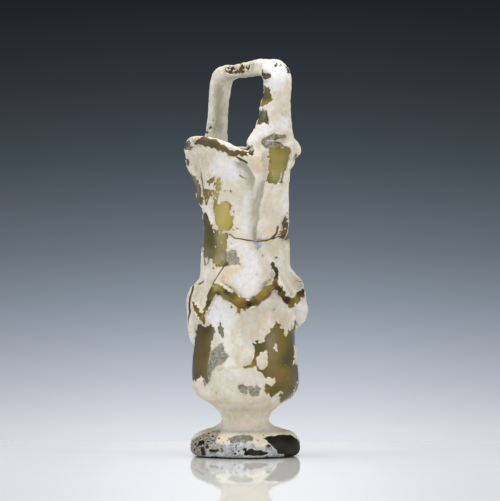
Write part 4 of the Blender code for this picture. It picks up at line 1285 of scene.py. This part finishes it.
class Weathering:
    """Where the crust has flaked off, how thick it is and how it is coloured, at points on the bottle."""

    def __init__(self, bottle, crust, rows):
        points, normals = (rows[:, :3], rows[:, 3:])
        normals = normals / np.linalg.norm(normals, axis=1)[:, None]
        self.bottle, self.crust, self.points, self.normals = (bottle, crust, points, normals)
        self.pixels = seen_at(points)
        wobble = np.stack([ripple(points, WOBBLE_WAVE, use) for use in ("edge", "ragged")], axis=1)
        finer = np.stack([ripple(points, FINE_WAVE, use) for use in ("speck", "flake")], axis=1)
        calm = mix(0.45, 1.0, smooth_step((points[:, 2:] - 8.0) / 3.0))
        self.ragged = self.pixels + calm * (WOBBLE * wobble + FINE_WOBBLE * finer)
        self.steady = self.pixels + STEADY_WOBBLE * wobble
        self.facing = -normals[:, 1]
        self.in_front = smooth_step((self.facing + 0.35 + 0.12 * wobble[:, 0]) / 0.25)

    def zone(self, zones, soft):
        """The strongest of some zones at each point."""
        found = np.zeros(len(self.points))
        for outline, strength in zones:
            found = np.maximum(found, strength * within(self.ragged, outline, soft))
        return found * self.in_front

    def bare_in_front(self):
        """How far inside a bare place of the front each point lies, in millimetres."""
        found = np.full(len(self.points), -50.0)
        for outline in WINDOWS:
            found = np.maximum(found, inside_by(self.ragged, outline))
        for island in ISLANDS:
            found = np.minimum(found, -inside_by(self.ragged, island))
        fine, coarse = (ripple(self.points, 1.5, "flecks", 24), ripple(self.points, 4.3, "speck", 14))
        flecks = 1.3 * (FLECK_LEVEL - fine - coarse)
        for outline in FLECKED:
            found = np.minimum(found, flecks + 4.0 * np.maximum(-inside_by(self.pixels, outline), 0.0))
        for routes, pixels in ((BARE_THREAD, self.ragged), (CRACKS, self.steady)):
            for route in routes:
                found = np.maximum(found, -chain(pixels, route, ROUTE_REACH))
        for u, v, across, up in SPECKS:
            inside = (1.0 - from_spot(self.ragged, u, v, across, up)) * min(across, up)
            found = np.maximum(found, inside)
        flat = self.points * [1.0, 1.0, 1.7]
        worn = ripple(flat, 3.4, "flake", 14) + 0.5 * ripple(flat, 1.5, "speck", 14) - WORN_LEVEL
        foot = low_down(self.points, 8.0, 2.0)
        found = np.maximum(found * PIXEL, worn * 0.7 - 2.0 * (1.0 - foot))
        return np.maximum(found, 0.5 - self.points[:, 2])

    def bare_elsewhere(self):
        """The same for the sides that the photograph hides, from noise."""
        points = self.points
        wanted = mix(self.crust.flaked, 0.55, low_down(points, 8.5, 3.0))
        level = PATCH_LEVEL * (1.0 - 2.0 * wanted)
        kept = bell(self.facing + 0.45, 0.35)
        found = (layered(points, PATCH_WAVES) - level - 1.6 * kept) * 1.6
        thread = 1.1 - np.abs(chain(points, self.bottle.thread))
        found = np.maximum(found, np.minimum(thread + 0.5 * ripple(points, 6.0, "speck") - 0.35, 1.0))
        found = np.maximum(found, 1.1 - points[:, 2])
        return np.maximum(found, (ripple(points, 2.1, "speck", 14) - HIDDEN_SPECK_LEVEL) * 0.35)

    def gaps(self):
        """Above 0 where the crust stands, about the distance in millimetres from where it is gone."""
        specks = (ripple(self.points, 1.7, "speck", 14) - FRONT_SPECK_LEVEL) * 0.3
        handover = 30.0 * self.in_front - 2.0
        front = np.minimum(np.maximum(self.bare_in_front(), specks), handover)
        return -np.maximum(front, np.minimum(self.bare_elsewhere(), -handover))

    def film(self):
        """How far the crust is only a thin grey film, and how silvery that film is."""
        film, silver = (np.zeros(len(self.points)), np.zeros(len(self.points)))
        for outline, strength, shine, soft in FILMS:
            pixels = self.steady if soft < 1.0 else self.ragged
            part = strength * within(pixels, outline, soft) * self.in_front
            silver = np.where(part > film, shine, silver)
            film = np.maximum(film, part)
        away = 0.9 * (1.0 - self.in_front)
        foot = away * smooth_step((7.5 - self.points[:, 2] + ripple(self.points, 4.0, "film")) / 1.5)
        patches = away * smooth_step((layered(self.points, FILM_WAVES) - FILM_LEVEL) * 2.5)
        return np.maximum(film, np.maximum(foot, patches)), np.maximum(silver, foot)

    def thickness(self, gaps, film):
        """How far the crust stands off the glass, in millimetres, thinner at its edges."""
        points = self.points
        sheets = 0.35 * smooth_step(ripple(points, 8.0, "layer") * 4.0 - 2.0)
        uneven = (0.13 * ripple(points, 2.6, "thickness"), 0.05 * ripple(points, 1.1, "lump"))
        whole = self.crust.thickness * TO_MM * (1.0 + sheets + uneven[0] + uneven[1])
        height = mix(whole, self.crust.film * TO_MM, film)
        return np.maximum(height, LEAST_CRUST) * mix(0.42, 1.0, smooth_step(gaps / EDGE_WIDTH))

    def colours(self, gaps, film, silver):
        """The strengths that the crust's material reads at each point."""
        away = 1.0 - self.in_front
        found = {}
        for name, (zones, soft, strength, wavelength, use, slope, level) in STAINS_AND_PAINTED_LIGHT.items():
            elsewhere = away * strength * smooth_step(slope * ripple(self.points, wavelength, use) - level)
            found[name] = np.maximum(self.zone(zones, soft), elsewhere)
        # Painted shade in the hollows and creases, laid into the grey smudge's strength
        for route, reach, strength in PAINTED_FOLD_SHADE:
            offset, far = beside(self.steady, route)
            fold = strength * smooth_step(offset / 1.2 + 0.5) * bell(far, reach) * self.in_front
            found["shade_and_smudge"] = np.maximum(found["shade_and_smudge"], fold)
        found["soil"] = self.zone(SOIL_ZONES, 2.5)
        found["film"] = film
        found["silver"] = silver
        # How near each point is to the crust's edge: the material darkens it there as painted shadow of the
        # crust's step, with dirt gathered there
        found["edge"] = 1.0 - smooth_step(gaps / 0.8)
        return found


def glass_tones(points, normals, bottle):
    """Darkness, amber, depth and haze of the glass: read in the front's windows, set elsewhere."""
    pixels = seen_at(points)
    front = smooth_step((0.35 - normals[:, 1]) / 0.25)
    dark = np.full(len(points), HIDDEN_DARKNESS) + 0.15 * ripple(points, 18.0, "form", 7)
    amber = 0.25 + 0.2 * ripple(points, 12.0, "stain", 7)
    thread = smooth_step(1.2 - chain(points, bottle.thread) / 0.7)
    dark = mix(dark, np.clip(THREAD_DARKNESS + 0.3 * ripple(points, 5.5, "speck"), 0.0, 1.0), thread)
    amber = mix(amber, THREAD_AMBER, thread)
    deep = thread * smooth_step(ripple(points, 6.0, "layer") - 0.6) * 0.8
    broad = mix(5.0, 8.0, smooth_step((pixels[:, 1] - 300.0) / 20.0))
    for spots, spread, where in ((WINDOW_TONES, broad, 1.0 - thread), (THREAD_TONES, 2.8, thread)):
        weights = np.stack([bell(from_spot(pixels, u, v), spread) for u, v, *_ in spots])
        total = weights.sum(axis=0)
        tones = np.array(spots)[:, 2:].T @ weights / np.maximum(total, 1e-6)
        part = where * front * np.clip(total * 3.0, 0.0, 1.0)
        dark, amber, deep = (mix(first, second, part) for first, second in zip((dark, amber, deep), tones))
    cracks = np.min([chain(pixels, route, 20.0) for route in CRACKS], axis=0)
    deep = np.maximum(deep, 0.6 * smooth_step(1.4 - cracks / 1.5) * front)
    amber = amber + 0.08 * ripple(points, 7.0, "soil", 7)
    for u, v, across, up in SPECKS:
        deep = np.maximum(deep, 0.7 * bell(from_spot(pixels, u, v, across, up), 1.6) * front)
    # Haze, and the painted sheen on the foot's black glass
    haze = np.max([part * bell(from_spot(pixels, u, v), 5.5) for u, v, part in HAZE_AND_SHEEN], axis=0)
    return {
        "dark": np.clip(dark, 0.0, 1.0),
        "amber": np.clip(amber, 0.0, 1.0),
        "deep": np.maximum(deep, low_down(points, 11.5, 3.0)),
        "haze": haze * front,
    }


class Wiring:
    """Adds and links nodes in one node tree."""

    def __init__(self, tree):
        self.tree = tree
        tree.nodes.clear()

    def node(self, kind, settings=None, **inputs):
        """A node with its settings, and its inputs as values or as sockets to link."""
        made = self.tree.nodes.new(kind)
        for name, value in (settings or {}).items():
            setattr(made, name, value)
        for name, value in inputs.items():
            self.feed(made, name.replace("_", " "), value)
        return made

    def feed(self, node, name, value):
        """Sets or links one input, found by its number or its name."""
        socket = node.inputs[int(name[1:])] if name[0] == "i" and name[1:].isdigit() else node.inputs[name]
        if isinstance(value, bpy.types.NodeSocket):
            self.tree.links.new(value, socket)
        else:
            socket.default_value = value

    def group(self, tree, **inputs):
        """The outputs of a shared node group, given its inputs."""
        return self.node("ShaderNodeGroup", {"node_tree": tree}, **inputs).outputs

    def attribute(self, name):
        """A value stored at the mesh's points."""
        return self.node("ShaderNodeAttribute", {"attribute_name": name}).outputs["Fac"]

    def math(self, operation, first, second=0.5, third=0.5, clamp=False):
        """One sum of up to three values."""
        settings = {"operation": operation, "use_clamp": clamp}
        return self.node("ShaderNodeMath", settings, i0=first, i1=second, i2=third).outputs[0]

    def times(self, first, second):
        """The product of two values."""
        return self.math("MULTIPLY", first, second)

    def ranged(self, value, low, high, to_low=0.0, to_high=1.0):
        """The value taken from one range to another, smoothly and held at the ends."""
        made = self.node(
            "ShaderNodeMapRange", {"interpolation_type": "SMOOTHSTEP"},
            i0=value, i1=low, i2=high, i3=to_low, i4=to_high,
        )
        return made.outputs[0]

    def blended(self, part, first, second, kind="MIX"):
        """Two colours blended by a part from 0 to 1."""
        settings = {"data_type": "RGBA", "blend_type": kind}
        return self.node("ShaderNodeMix", settings, i0=part, i6=first, i7=second).outputs[2]

    def noise(self, place, scale, detail, roughness):
        """Cloudy noise of about 0.5."""
        made = self.node("ShaderNodeTexNoise", Vector=place, Scale=scale, Detail=detail, Roughness=roughness)
        return made.outputs["Fac"]

    def surface(self, base, roughness, bump=None):
        """A material's shader. The bump is given by its strength, distance and height."""
        shader = self.node("ShaderNodeBsdfPrincipled", Base_Color=base, Roughness=roughness)
        if bump:
            strength, distance, height = bump
            made = self.node("ShaderNodeBump", Strength=strength, Distance=distance, Height=height)
            self.feed(shader, "Normal", made.outputs["Normal"])
        self.node("ShaderNodeOutputMaterial", Surface=shader.outputs["BSDF"])
        return shader


def new_group(name, inputs, outputs):
    """A node group with sockets of the given kinds and default values, its nodes and its given values."""
    group = bpy.data.node_groups.new(name, "ShaderNodeTree")
    for label, (kind, default) in inputs.items():
        made = group.interface.new_socket(name=label, in_out="INPUT", socket_type="NodeSocket" + kind)
        if default is not None:
            made.default_value = default
    for label, kind in outputs.items():
        group.interface.new_socket(name=label, in_out="OUTPUT", socket_type="NodeSocket" + kind)
    wires = Wiring(group)
    return group, wires, wires.node("NodeGroupInput").outputs


def chalk_group():
    """Fine grain, pits and drifts of a chalky surface, shared by the crust, the lining and the glass."""
    group = bpy.data.node_groups.get("Chalky grain")
    if group:
        return group
    group, wires, given = new_group(
        "Chalky grain", {"Place": ("Vector", None), "Grain": ("Float", 2600.0), "Pits": ("Float", 0.5)},
        dict.fromkeys(("Drift", "Fine", "Pitted", "Height"), "Float"),
    )
    place, grain = (given["Place"], given["Grain"])
    drift = wires.noise(place, wires.times(grain, 0.06), 5.0, 0.6)
    fine = wires.noise(place, grain, 3.0, 0.6)
    coarse = wires.noise(place, wires.times(grain, 0.30), 3.0, 0.6)
    spots = wires.node("ShaderNodeTexVoronoi", Vector=place, Scale=wires.times(grain, 0.25))
    pits = wires.ranged(spots.outputs["Distance"], 0.10, 0.24, 1.0, 0.0)
    some = wires.ranged(wires.noise(place, wires.times(grain, 0.12), 2.0, 0.5), 0.50, 0.62)
    pitted = wires.times(wires.times(pits, some), given["Pits"])
    height = wires.math("ADD", wires.times(fine, 0.35), wires.times(coarse, 0.65))
    height = wires.math("SUBTRACT", height, wires.times(pitted, 0.8))
    wires.node("NodeGroupOutput", Drift=drift, Fine=fine, Pitted=pitted, Height=height)
    return group


def tint_group():
    """Two colours mixed by a strength that a drift breaks up, shared by the stains, the painted highlights
    and the painted shade.
    """
    group = bpy.data.node_groups.get("Broken tint")
    if group:
        return group
    group, wires, given = new_group(
        "Broken tint",
        {
            "Clean": ("Color", None), "Tint": ("Color", None), "Strength": ("Float", 0.5),
            "Drift": ("Float", 0.5), "Break": ("Float", 0.6),
        },
        {"Colour": "Color"},
    )
    swing = wires.times(wires.math("SUBTRACT", given["Drift"], 0.5), given["Break"])
    broken = wires.math("ADD", given["Strength"], wires.times(swing, 2.4))
    part = wires.times(wires.ranged(broken, 0.0, 1.0), wires.ranged(given["Strength"], 0.0, 0.5))
    wires.node("NodeGroupOutput", Colour=wires.blended(part, given["Clean"], given["Tint"]))
    return group


def palette(colours):
    """The side panel's colours as shaders take them."""
    return SimpleNamespace(**{name: (*getattr(colours, name), 1.0) for name in names_of(colours)})


def new_material(name):
    """A material, its nodes and the place in the object's coordinates."""
    made = bpy.data.materials.new(name)
    made.use_nodes = True
    wires = Wiring(made.node_tree)
    return made, wires, wires.node("ShaderNodeTexCoord").outputs["Object"]


# Grain of each surface, in waves to the metre, and depth of its bumps, in metres
CRUST_GRAIN = 2400.0
GLASS_GRAIN = 1500.0
LINING_GRAIN = 1800.0
BUMP_DEPTH = 0.00010
LINING_BUMP_DEPTH = 0.0003


def crust_material(inks):
    """Matt chalky crust: cream and beige, lilac white in places, stained peach, grey where it is thin. Lilac
    also paints highlights, grey smudge paints shade, and beige along the edges paints the shadow of the
    crust's step.
    """
    material, wires, place = new_material("Weathering crust")
    chalk = wires.group(chalk_group(), Place=place, Grain=CRUST_GRAIN, Pits=0.8)
    silver, film, soil = (wires.attribute(name) for name in ("silver", "film", "soil"))
    broad = wires.noise(place, 130.0, 6.0, 0.62)
    base = wires.blended(wires.ranged(broad, 0.38, 0.66), inks.cream, inks.beige)
    blotches = wires.ranged(wires.noise(place, 330.0, 5.0, 0.62), 0.48, 0.68, 0.0, 0.45)
    base = wires.blended(blotches, base, inks.peach)
    bleached = wires.ranged(wires.noise(place, 210.0, 5.0, 0.6), 0.48, 0.70, 0.0, 0.5)
    base = wires.blended(bleached, base, inks.lilac)

    def tinted(clean, tint, strength, broken):
        made = wires.group(
            tint_group(), Clean=clean, Tint=tint, Strength=strength, Drift=chalk["Drift"], Break=broken,
        )
        return made["Colour"]

    # Lilac white where the crust is pale, and also a painted highlight on faces the light falls on
    base = tinted(base, inks.lilac, wires.attribute("pale"), 0.35)
    base = tinted(base, inks.peach, wires.attribute("peach"), 0.9)
    # Grey smudge, which is also painted shade in hollows, creases and faces turned from the light
    base = tinted(base, inks.shade_and_smudge, wires.attribute("shade_and_smudge"), 0.25)
    mottle = wires.noise(place, 620.0, 6.0, 0.7)
    specks = wires.noise(place, 1500.0, 4.0, 0.6)
    tone = wires.math("MULTIPLY_ADD", wires.math("SUBTRACT", mottle, 0.5), 1.9, silver)
    filmy = wires.blended(wires.ranged(tone, -0.1, 0.45), inks.murk, inks.film)
    cold = wires.blended(wires.ranged(tone, 0.05, 0.85), inks.slate, inks.silver)
    filmy = wires.blended(wires.ranged(silver, 0.28, 0.52), filmy, cold)
    base = wires.blended(wires.ranged(film, 0.25, 0.75), base, filmy)
    soiled = wires.times(film, wires.ranged(specks, 0.45, 0.38))
    base = wires.blended(wires.times(soiled, 0.55), base, inks.soil)
    speckled = wires.times(soil, wires.ranged(mottle, 0.44, 0.60, 0.25, 1.0))
    base = wires.blended(speckled, base, inks.soil)
    base = wires.blended(wires.times(soil, wires.ranged(specks, 0.55, 0.60)), base, inks.cream)
    base = tinted(base, inks.soil, wires.times(chalk["Pitted"], 0.3), 0.1)
    # Beige along the crust's edges: painted shadow of the crust's step, with dirt gathered there
    base = tinted(base, inks.beige, wires.times(wires.attribute("edge"), 0.45), 0.6)
    base = wires.blended(1.0, base, wires.ranged(chalk["Fine"], 0.30, 0.70, 0.95, 1.03), "MULTIPLY")
    base = wires.blended(1.0, base, wires.ranged(mottle, 0.35, 0.65, 0.95, 1.04), "MULTIPLY")
    base = wires.blended(wires.attribute("under"), base, inks.soil)
    rough = wires.ranged(film, 0.0, 1.0, 0.88, 0.48)
    shader = wires.surface(base, rough, (0.35, BUMP_DEPTH, chalk["Height"]))
    shader.inputs["Specular IOR Level"].default_value = 0.35
    return material


def glass_material(inks):
    """Olive glass, dulled by burial: see-through, darker and amber where thick, nearly black at the foot."""
    material, wires, place = new_material("Olive glass")
    chalk = wires.group(chalk_group(), Place=place, Grain=GLASS_GRAIN, Pits=0.6)
    deep = wires.attribute("deep")
    dark = wires.math("ADD", wires.attribute("dark"), wires.times(chalk["Drift"], 0.2))
    dark = wires.math("SUBTRACT", dark, 0.10, clamp=True)
    base = wires.blended(dark, inks.olive, inks.dark_olive)
    base = wires.blended(wires.times(wires.attribute("amber"), 0.75), base, inks.amber)
    base = wires.blended(wires.times(deep, 0.97), base, inks.black)
    dusty = wires.times(wires.ranged(chalk["Fine"], 0.58, 0.72), 0.10)
    clear = wires.math("SUBTRACT", 1.0, deep, clamp=True)
    base = wires.blended(wires.times(dusty, clear), base, inks.film)
    # Hazy glass, and a painted sheen on the foot's black glass
    base = wires.blended(wires.attribute("haze"), base, inks.film)
    facing = wires.node("ShaderNodeLayerWeight", Blend=0.5).outputs["Facing"]
    base = wires.blended(wires.ranged(facing, 0.45, 0.95, 0.0, 0.6), base, inks.black)
    rough = wires.ranged(chalk["Drift"], 0.35, 0.65, 0.26, 0.44)
    rough = wires.math("ADD", rough, wires.times(deep, 0.12))
    shader = wires.surface(base, rough, (0.25, BUMP_DEPTH, chalk["Height"]))
    wires.feed(shader, "Specular IOR Level", wires.ranged(clear, 0.0, 1.0, 0.08, 0.2))
    shader.inputs["Metallic"].default_value = 0.0
    shader.inputs["IOR"].default_value = 1.4
    shader.inputs["Transmission Weight"].default_value = 0.6
    return material


def lining_material(inks):
    """Soil and crust on the inside of the tube, seen through the glass and over the lip."""
    material, wires, place = new_material("Inner crust")
    chalk = wires.group(chalk_group(), Place=place, Grain=LINING_GRAIN, Pits=0.8)
    base = wires.blended(wires.ranged(chalk["Drift"], 0.40, 0.60), inks.cream, inks.beige)
    murky = wires.times(wires.attribute("murky"), 0.85)
    soiled = wires.group(
        tint_group(), Clean=base, Tint=inks.soil, Strength=murky, Drift=chalk["Drift"], Break=0.2,
    )
    rough = wires.ranged(chalk["Fine"], 0.3, 0.7, 0.82, 0.96)
    wires.surface(soiled["Colour"], rough, (0.6, LINING_BUMP_DEPTH, chalk["Height"]))
    return material


def floor_material(inks):
    """A pale glossy sheet that mirrors the foot faintly, painted brighter round the bottle than at its sides
    as painted light.
    """
    material, wires, place = new_material("Glossy floor")
    haze = wires.noise(place, 40.0, 2.0, 0.5)
    aside = wires.math("ABSOLUTE", wires.node("ShaderNodeSeparateXYZ", Vector=place).outputs["X"])
    # Painted light: the floor brighter round the bottle and darker towards its sides
    tone = wires.blended(wires.ranged(aside, 0.01, 0.07), inks.floor, inks.floor_side)
    shader = wires.surface(tone, wires.ranged(haze, 0.3, 0.7, 0.02, 0.035))
    shader.inputs["IOR"].default_value = 1.15
    return material


def backdrop_material(studio):
    """A glow from nearly white low down to slate above, a little dimmer away from the middle."""
    material, wires, place = new_material("Backdrop")
    place = wires.node("ShaderNodeSeparateXYZ", Vector=place).outputs
    away = PHOTO_DISTANCE + studio.dome_radius * TO_MM
    heights = [
        (PHOTO_EYE - (row - PHOTO_HEIGHT / 2) / PHOTO_FOCUS * away) / TO_MM for row, _ in BACKDROP_ROWS
    ]
    seen = wires.node("ShaderNodeLightPath").outputs["Is Camera Ray"]
    lift = wires.times(wires.math("SUBTRACT", 1.0, seen), studio.glow_lift)
    height = wires.math("SUBTRACT", place["Z"], lift)
    scale = wires.node("ShaderNodeMapRange", i0=height, i1=heights[0], i2=heights[-1])
    ramp = wires.node("ShaderNodeValToRGB", Fac=scale.outputs[0])
    stops = ramp.color_ramp.elements
    while len(stops) < len(BACKDROP_ROWS):
        stops.new(0.5)
    for stop, height, (_, parts) in zip(stops, heights, BACKDROP_ROWS):
        stop.position = (height - heights[0]) / (heights[-1] - heights[0])
        stop.color = (*[to_linear(part) for part in parts], 1.0)
    dimmer = wires.ranged(wires.math("ABSOLUTE", place["X"]), 0.05, 0.26, 1.0, 0.86)
    shade = wires.times(dimmer, studio.glow)
    glow = wires.node("ShaderNodeEmission", Color=ramp.outputs["Color"], Strength=shade)
    wires.node("ShaderNodeOutputMaterial", Surface=glow.outputs["Emission"])
    return material


def stage_piece(name, points, faces, material):
    """A mesh of the studio, which is no part of the bottle."""
    mesh = bpy.data.meshes.new(name)
    mesh.from_pydata(points, [], faces)
    mesh.materials.append(material)
    made = bpy.data.objects.new(name, mesh)
    bpy.context.scene.collection.objects.link(made)
    return mesh


def turned_stage(name, profile, material, steps=128):
    """A stage piece turned round the bottle's axis from radius and height, in metres."""
    turn = np.arange(steps) * FULL_TURN / steps
    points = [(r * math.cos(a), r * math.sin(a), z) for r, z in profile for a in turn]
    faces = [
        (ring + k, ring + after, ring + steps + after, ring + steps + k)
        for ring in range(0, (len(profile) - 1) * steps, steps)
        for k, after in zip(range(steps), [*range(1, steps), 0])
    ]
    mesh = stage_piece(name, points, faces, material)
    mesh.shade_smooth()
    mesh.set_sharp_from_angle(angle=math.radians(SHARP_STAGE))


def floor_slab(studio, material):
    """The glossy floor: a sheet whose far edge is the photograph's horizon."""
    half, top = (studio.floor_width / 2, -0.00005)
    near, far = (-studio.floor_front, studio.floor_behind)
    corners = ((-half, near), (half, near), (half, far), (-half, far))
    points = [(x, y, z) for z in (top - studio.floor_thickness, top) for x, y in corners]
    faces = [(3, 2, 1, 0), (4, 5, 6, 7), (0, 1, 5, 4), (1, 2, 6, 5), (2, 3, 7, 6), (3, 0, 4, 7)]
    stage_piece("floor", points, faces, material)


# The middle of the bottle, in metres, where most lights are aimed
AIM = (0.0, 0.0, 0.07)

# The soft lights: place, target and width in metres, the setting of their power, its share, and the tint
LIGHTS = {
    "key light": ((-0.05, -0.05, 0.95), AIM, 0.60, "key", 1.0, (1.0, 0.985, 0.96)),
    "fill light": ((0.15, -1.15, 0.42), AIM, 0.60, "fill", 1.0, (1.0, 0.99, 0.98)),
    "foot light": ((0.0, -0.45, 0.30), (0.0, 0.0, 0.01), 0.25, "front", 1.0, (1.0, 0.99, 0.97)),
    "left light": ((-0.90, -0.42, 0.22), AIM, 0.55, "side", 1.0, (0.95, 0.97, 1.0)),
    "right light": ((0.90, -0.45, 0.22), AIM, 0.55, "side", 0.92, (1.0, 0.99, 0.97)),
}

# What the camera sees, from its near end to its far end, in metres
CAMERA_CLIPS = (0.05, 20.0)


def soft_light(name, place, target, size, energy, tint):
    """A large soft light aimed at a point, which the camera doesn't see."""
    lamp = bpy.data.lights.new(name, "AREA")
    lamp.shape = "DISK"
    lamp.size = size
    lamp.energy = energy
    lamp.color = tint
    made = bpy.data.objects.new(name, lamp)
    made.location = place
    made.rotation_mode = "QUATERNION"
    made.rotation_quaternion = Vector(np.subtract(target, place)).to_track_quat("-Z", "Y")
    made.visible_camera = False
    bpy.context.scene.collection.objects.link(made)


class KOHL_OT_glass(bpy.types.Operator):
    """Model the bottle's olive glass as one closed, hollow piece"""
    bl_idname = "kohl.glass"
    bl_label = "Olive glass"

    def execute(self, context):
        bottle = Bottle(context.scene.kohl_sizes)
        points, faces = bottle_surface(bottle, context.scene.kohl_crust.glass_step * TO_MM)
        if not len(faces):
            raise RuntimeError("the glass has no surface: look at its sizes")
        points[:, 2] = np.maximum(points[:, 2], 0.0)
        tones = glass_tones(points, bottle.normals(points), bottle)
        material = glass_material(palette(context.scene.kohl_colours))
        make_piece("glass_bottle", points, faces, tones, material)
        return {"FINISHED"}


# The pieces of the crust, each between two heights in millimetres
CRUST_REGIONS = {
    "crust_foot": (-5.0, 12.6), "crust_belly": (12.6, 48.5), "crust_waist": (48.5, 72.0),
    "crust_tube": (72.0, 99.0), "crust_handle": (99.0, 145.0),
}

# How far outside the bore's wall the crust starts, and how far the lining reaches, in millimetres
CRUST_START = 0.6
LINING_END = 0.75


class KOHL_OT_crust(bpy.types.Operator):
    """Lay the weathering crust on the outside of the glass, with its windows, cracks and stains"""
    bl_idname = "kohl.crust"
    bl_label = "Weathering crust"

    def execute(self, context):
        crust = context.scene.kohl_crust
        bottle = Bottle(context.scene.kohl_sizes)
        points, triangles = bottle_triangles(bottle, crust.crust_step * TO_MM)
        points, triangles, _ = clipped(points, triangles, bottle.bore_gap(points) - CRUST_START)
        rows = np.hstack([points, bottle.normals(points)])
        gaps = Weathering(bottle, crust, rows).gaps()
        rows, triangles = refined(rows, triangles, np.abs(gaps) < EDGE_WIDTH)
        gaps = np.concatenate([gaps, Weathering(bottle, crust, rows[len(gaps):]).gaps()])
        material = crust_material(palette(context.scene.kohl_colours))
        for name, (low, high) in CRUST_REGIONS.items():
            self.lay(name, bottle, crust, rows, triangles, gaps, low, high, material)
        return {"FINISHED"}

    def lay(self, name, bottle, crust, rows, triangles, gaps, low, high, material):
        """One region of the crust between two heights, from rows of place and normal."""
        middles = rows[triangles, 2].mean(axis=1)
        triangles = triangles[(middles >= low) & (middles < high)]
        used, triangles = np.unique(triangles, return_inverse=True)
        rows, triangles, gaps = clipped(rows[used], triangles.reshape(-1, 3), gaps[used])
        if not len(triangles):
            raise RuntimeError(f"{name} has no crust left: lower the flaked share")
        wear = Weathering(bottle, crust, rows)
        gaps = np.maximum(gaps, 0.0)
        film, silver = wear.film()
        over, sunk = (wear.thickness(gaps, film), np.full(len(rows), crust.sink * TO_MM))
        places, faces = shell(wear.points, triangles, wear.normals, over, sunk)
        places[:, 2] = np.maximum(places[:, 2], 0.0)
        seen = {label: np.tile(values, 2) for label, values in wear.colours(gaps, film, silver).items()}
        seen["under"] = np.repeat([0.0, 0.8], len(rows))
        make_piece(name, places, faces, seen, material)


class KOHL_OT_lining(bpy.types.Operator):
    """Line the inside of the tube with soil and crust"""
    bl_idname = "kohl.lining"
    bl_label = "Inner crust"

    def execute(self, context):
        crust = context.scene.kohl_crust
        bottle = Bottle(context.scene.kohl_sizes)
        points, triangles = bottle_triangles(bottle, crust.lining_step * TO_MM)
        points, triangles, _ = clipped(points, triangles, LINING_END - bottle.bore_gap(points))
        points, triangles, _ = clipped(points, triangles, LINING_LEVEL - layered(points, LINING_WAVES))
        if not len(triangles):
            raise RuntimeError("the bore has no surface to line: look at the wall and the floor")
        normals = bottle.normals(points)
        over = crust.lining * TO_MM * (1.0 + 0.35 * ripple(points, 3.0, "thickness"))
        places, faces = shell(points, triangles, normals, over, np.full(len(points), crust.sink * TO_MM))
        murky = {"murky": np.tile(glass_tones(points, -normals, bottle)["dark"], 2)}
        material = lining_material(palette(context.scene.kohl_colours))
        make_piece("inner_crust", places, faces, murky, material)
        return {"FINISHED"}


class KOHL_OT_stage(bpy.types.Operator):
    """Set up the pale floor, the backdrop, the soft lights and the camera of the photograph"""
    bl_idname = "kohl.stage"
    bl_label = "Studio"

    def execute(self, context):
        scene = context.scene
        studio = scene.kohl_studio
        floor_slab(studio, floor_material(palette(scene.kohl_colours)))
        wide, low, high = (studio.dome_radius, -studio.dome_depth, studio.dome_height)
        bend = 0.25
        corner = [
            (wide - bend + bend * math.sin(a), low + bend - bend * math.cos(a))
            for a in np.linspace(0.0, math.pi / 2, 10)
        ]
        roof = [(wide * math.cos(a), high + 0.5 * wide * math.sin(a)) for a in np.linspace(0.0, 1.55, 12)]
        turned_stage("backdrop", [(0.01, low), *corner, *roof], backdrop_material(studio))
        for name, (place, target, size, setting, part, tint) in LIGHTS.items():
            soft_light(name, place, target, size, getattr(studio, setting) * part, tint)
        self.set_camera(scene)
        scene.view_settings.view_transform = "Standard"
        world = bpy.data.worlds.new("Studio")
        world.use_nodes = True
        world.node_tree.nodes["Background"].inputs["Color"].default_value = (0.0, 0.0, 0.0, 1.0)
        scene.world = world
        return {"FINISHED"}

    def set_camera(self, scene):
        """A level camera at the photograph's height and distance."""
        lens = bpy.data.cameras.new("camera")
        lens.lens = lens.sensor_width * PHOTO_FOCUS / PHOTO_HEIGHT
        lens.clip_start, lens.clip_end = CAMERA_CLIPS
        camera = bpy.data.objects.new("camera", lens)
        aside = (PHOTO_WIDTH / 2 - PHOTO_AXIS_U) * PIXEL
        camera.location = (aside / TO_MM, -PHOTO_DISTANCE / TO_MM, PHOTO_EYE / TO_MM)
        camera.rotation_euler = (math.pi / 2, 0.0, 0.0)
        scene.collection.objects.link(camera)
        scene.camera = camera


OPERATORS = (KOHL_OT_stage, KOHL_OT_glass, KOHL_OT_crust, KOHL_OT_lining)
GROUPS = {
    "kohl_sizes": KohlBottleSizes, "kohl_crust": KohlCrustSizes,
    "kohl_colours": KohlColours, "kohl_studio": KohlStudio,
}


class KOHL_PT_panel(bpy.types.Panel):
    """The bottle's operators and their sizes"""
    bl_label = "Kohl bottle"
    bl_idname = "KOHL_PT_panel"
    bl_space_type = "VIEW_3D"
    bl_region_type = "UI"
    bl_category = "Kohl bottle"

    def draw(self, context):
        for operator in OPERATORS:
            self.layout.operator(operator.bl_idname)
        for group in GROUPS:
            box = self.layout.box()
            box.label(text=group)
            settings = getattr(context.scene, group)
            for name in names_of(settings):
                box.prop(settings, name)


def register():
    for made in (*GROUPS.values(), *OPERATORS, KOHL_PT_panel):
        bpy.utils.register_class(made)
    for name, group in GROUPS.items():
        setattr(bpy.types.Scene, name, bpy.props.PointerProperty(type=group))


def unregister():
    for name in GROUPS:
        delattr(bpy.types.Scene, name)
    for made in reversed((*GROUPS.values(), *OPERATORS, KOHL_PT_panel)):
        bpy.utils.unregister_class(made)


def main():
    register()
    for operator in OPERATORS:
        family, name = operator.bl_idname.split(".")
        getattr(getattr(bpy.ops, family), name)()


if __name__ == "__main__":
    main()
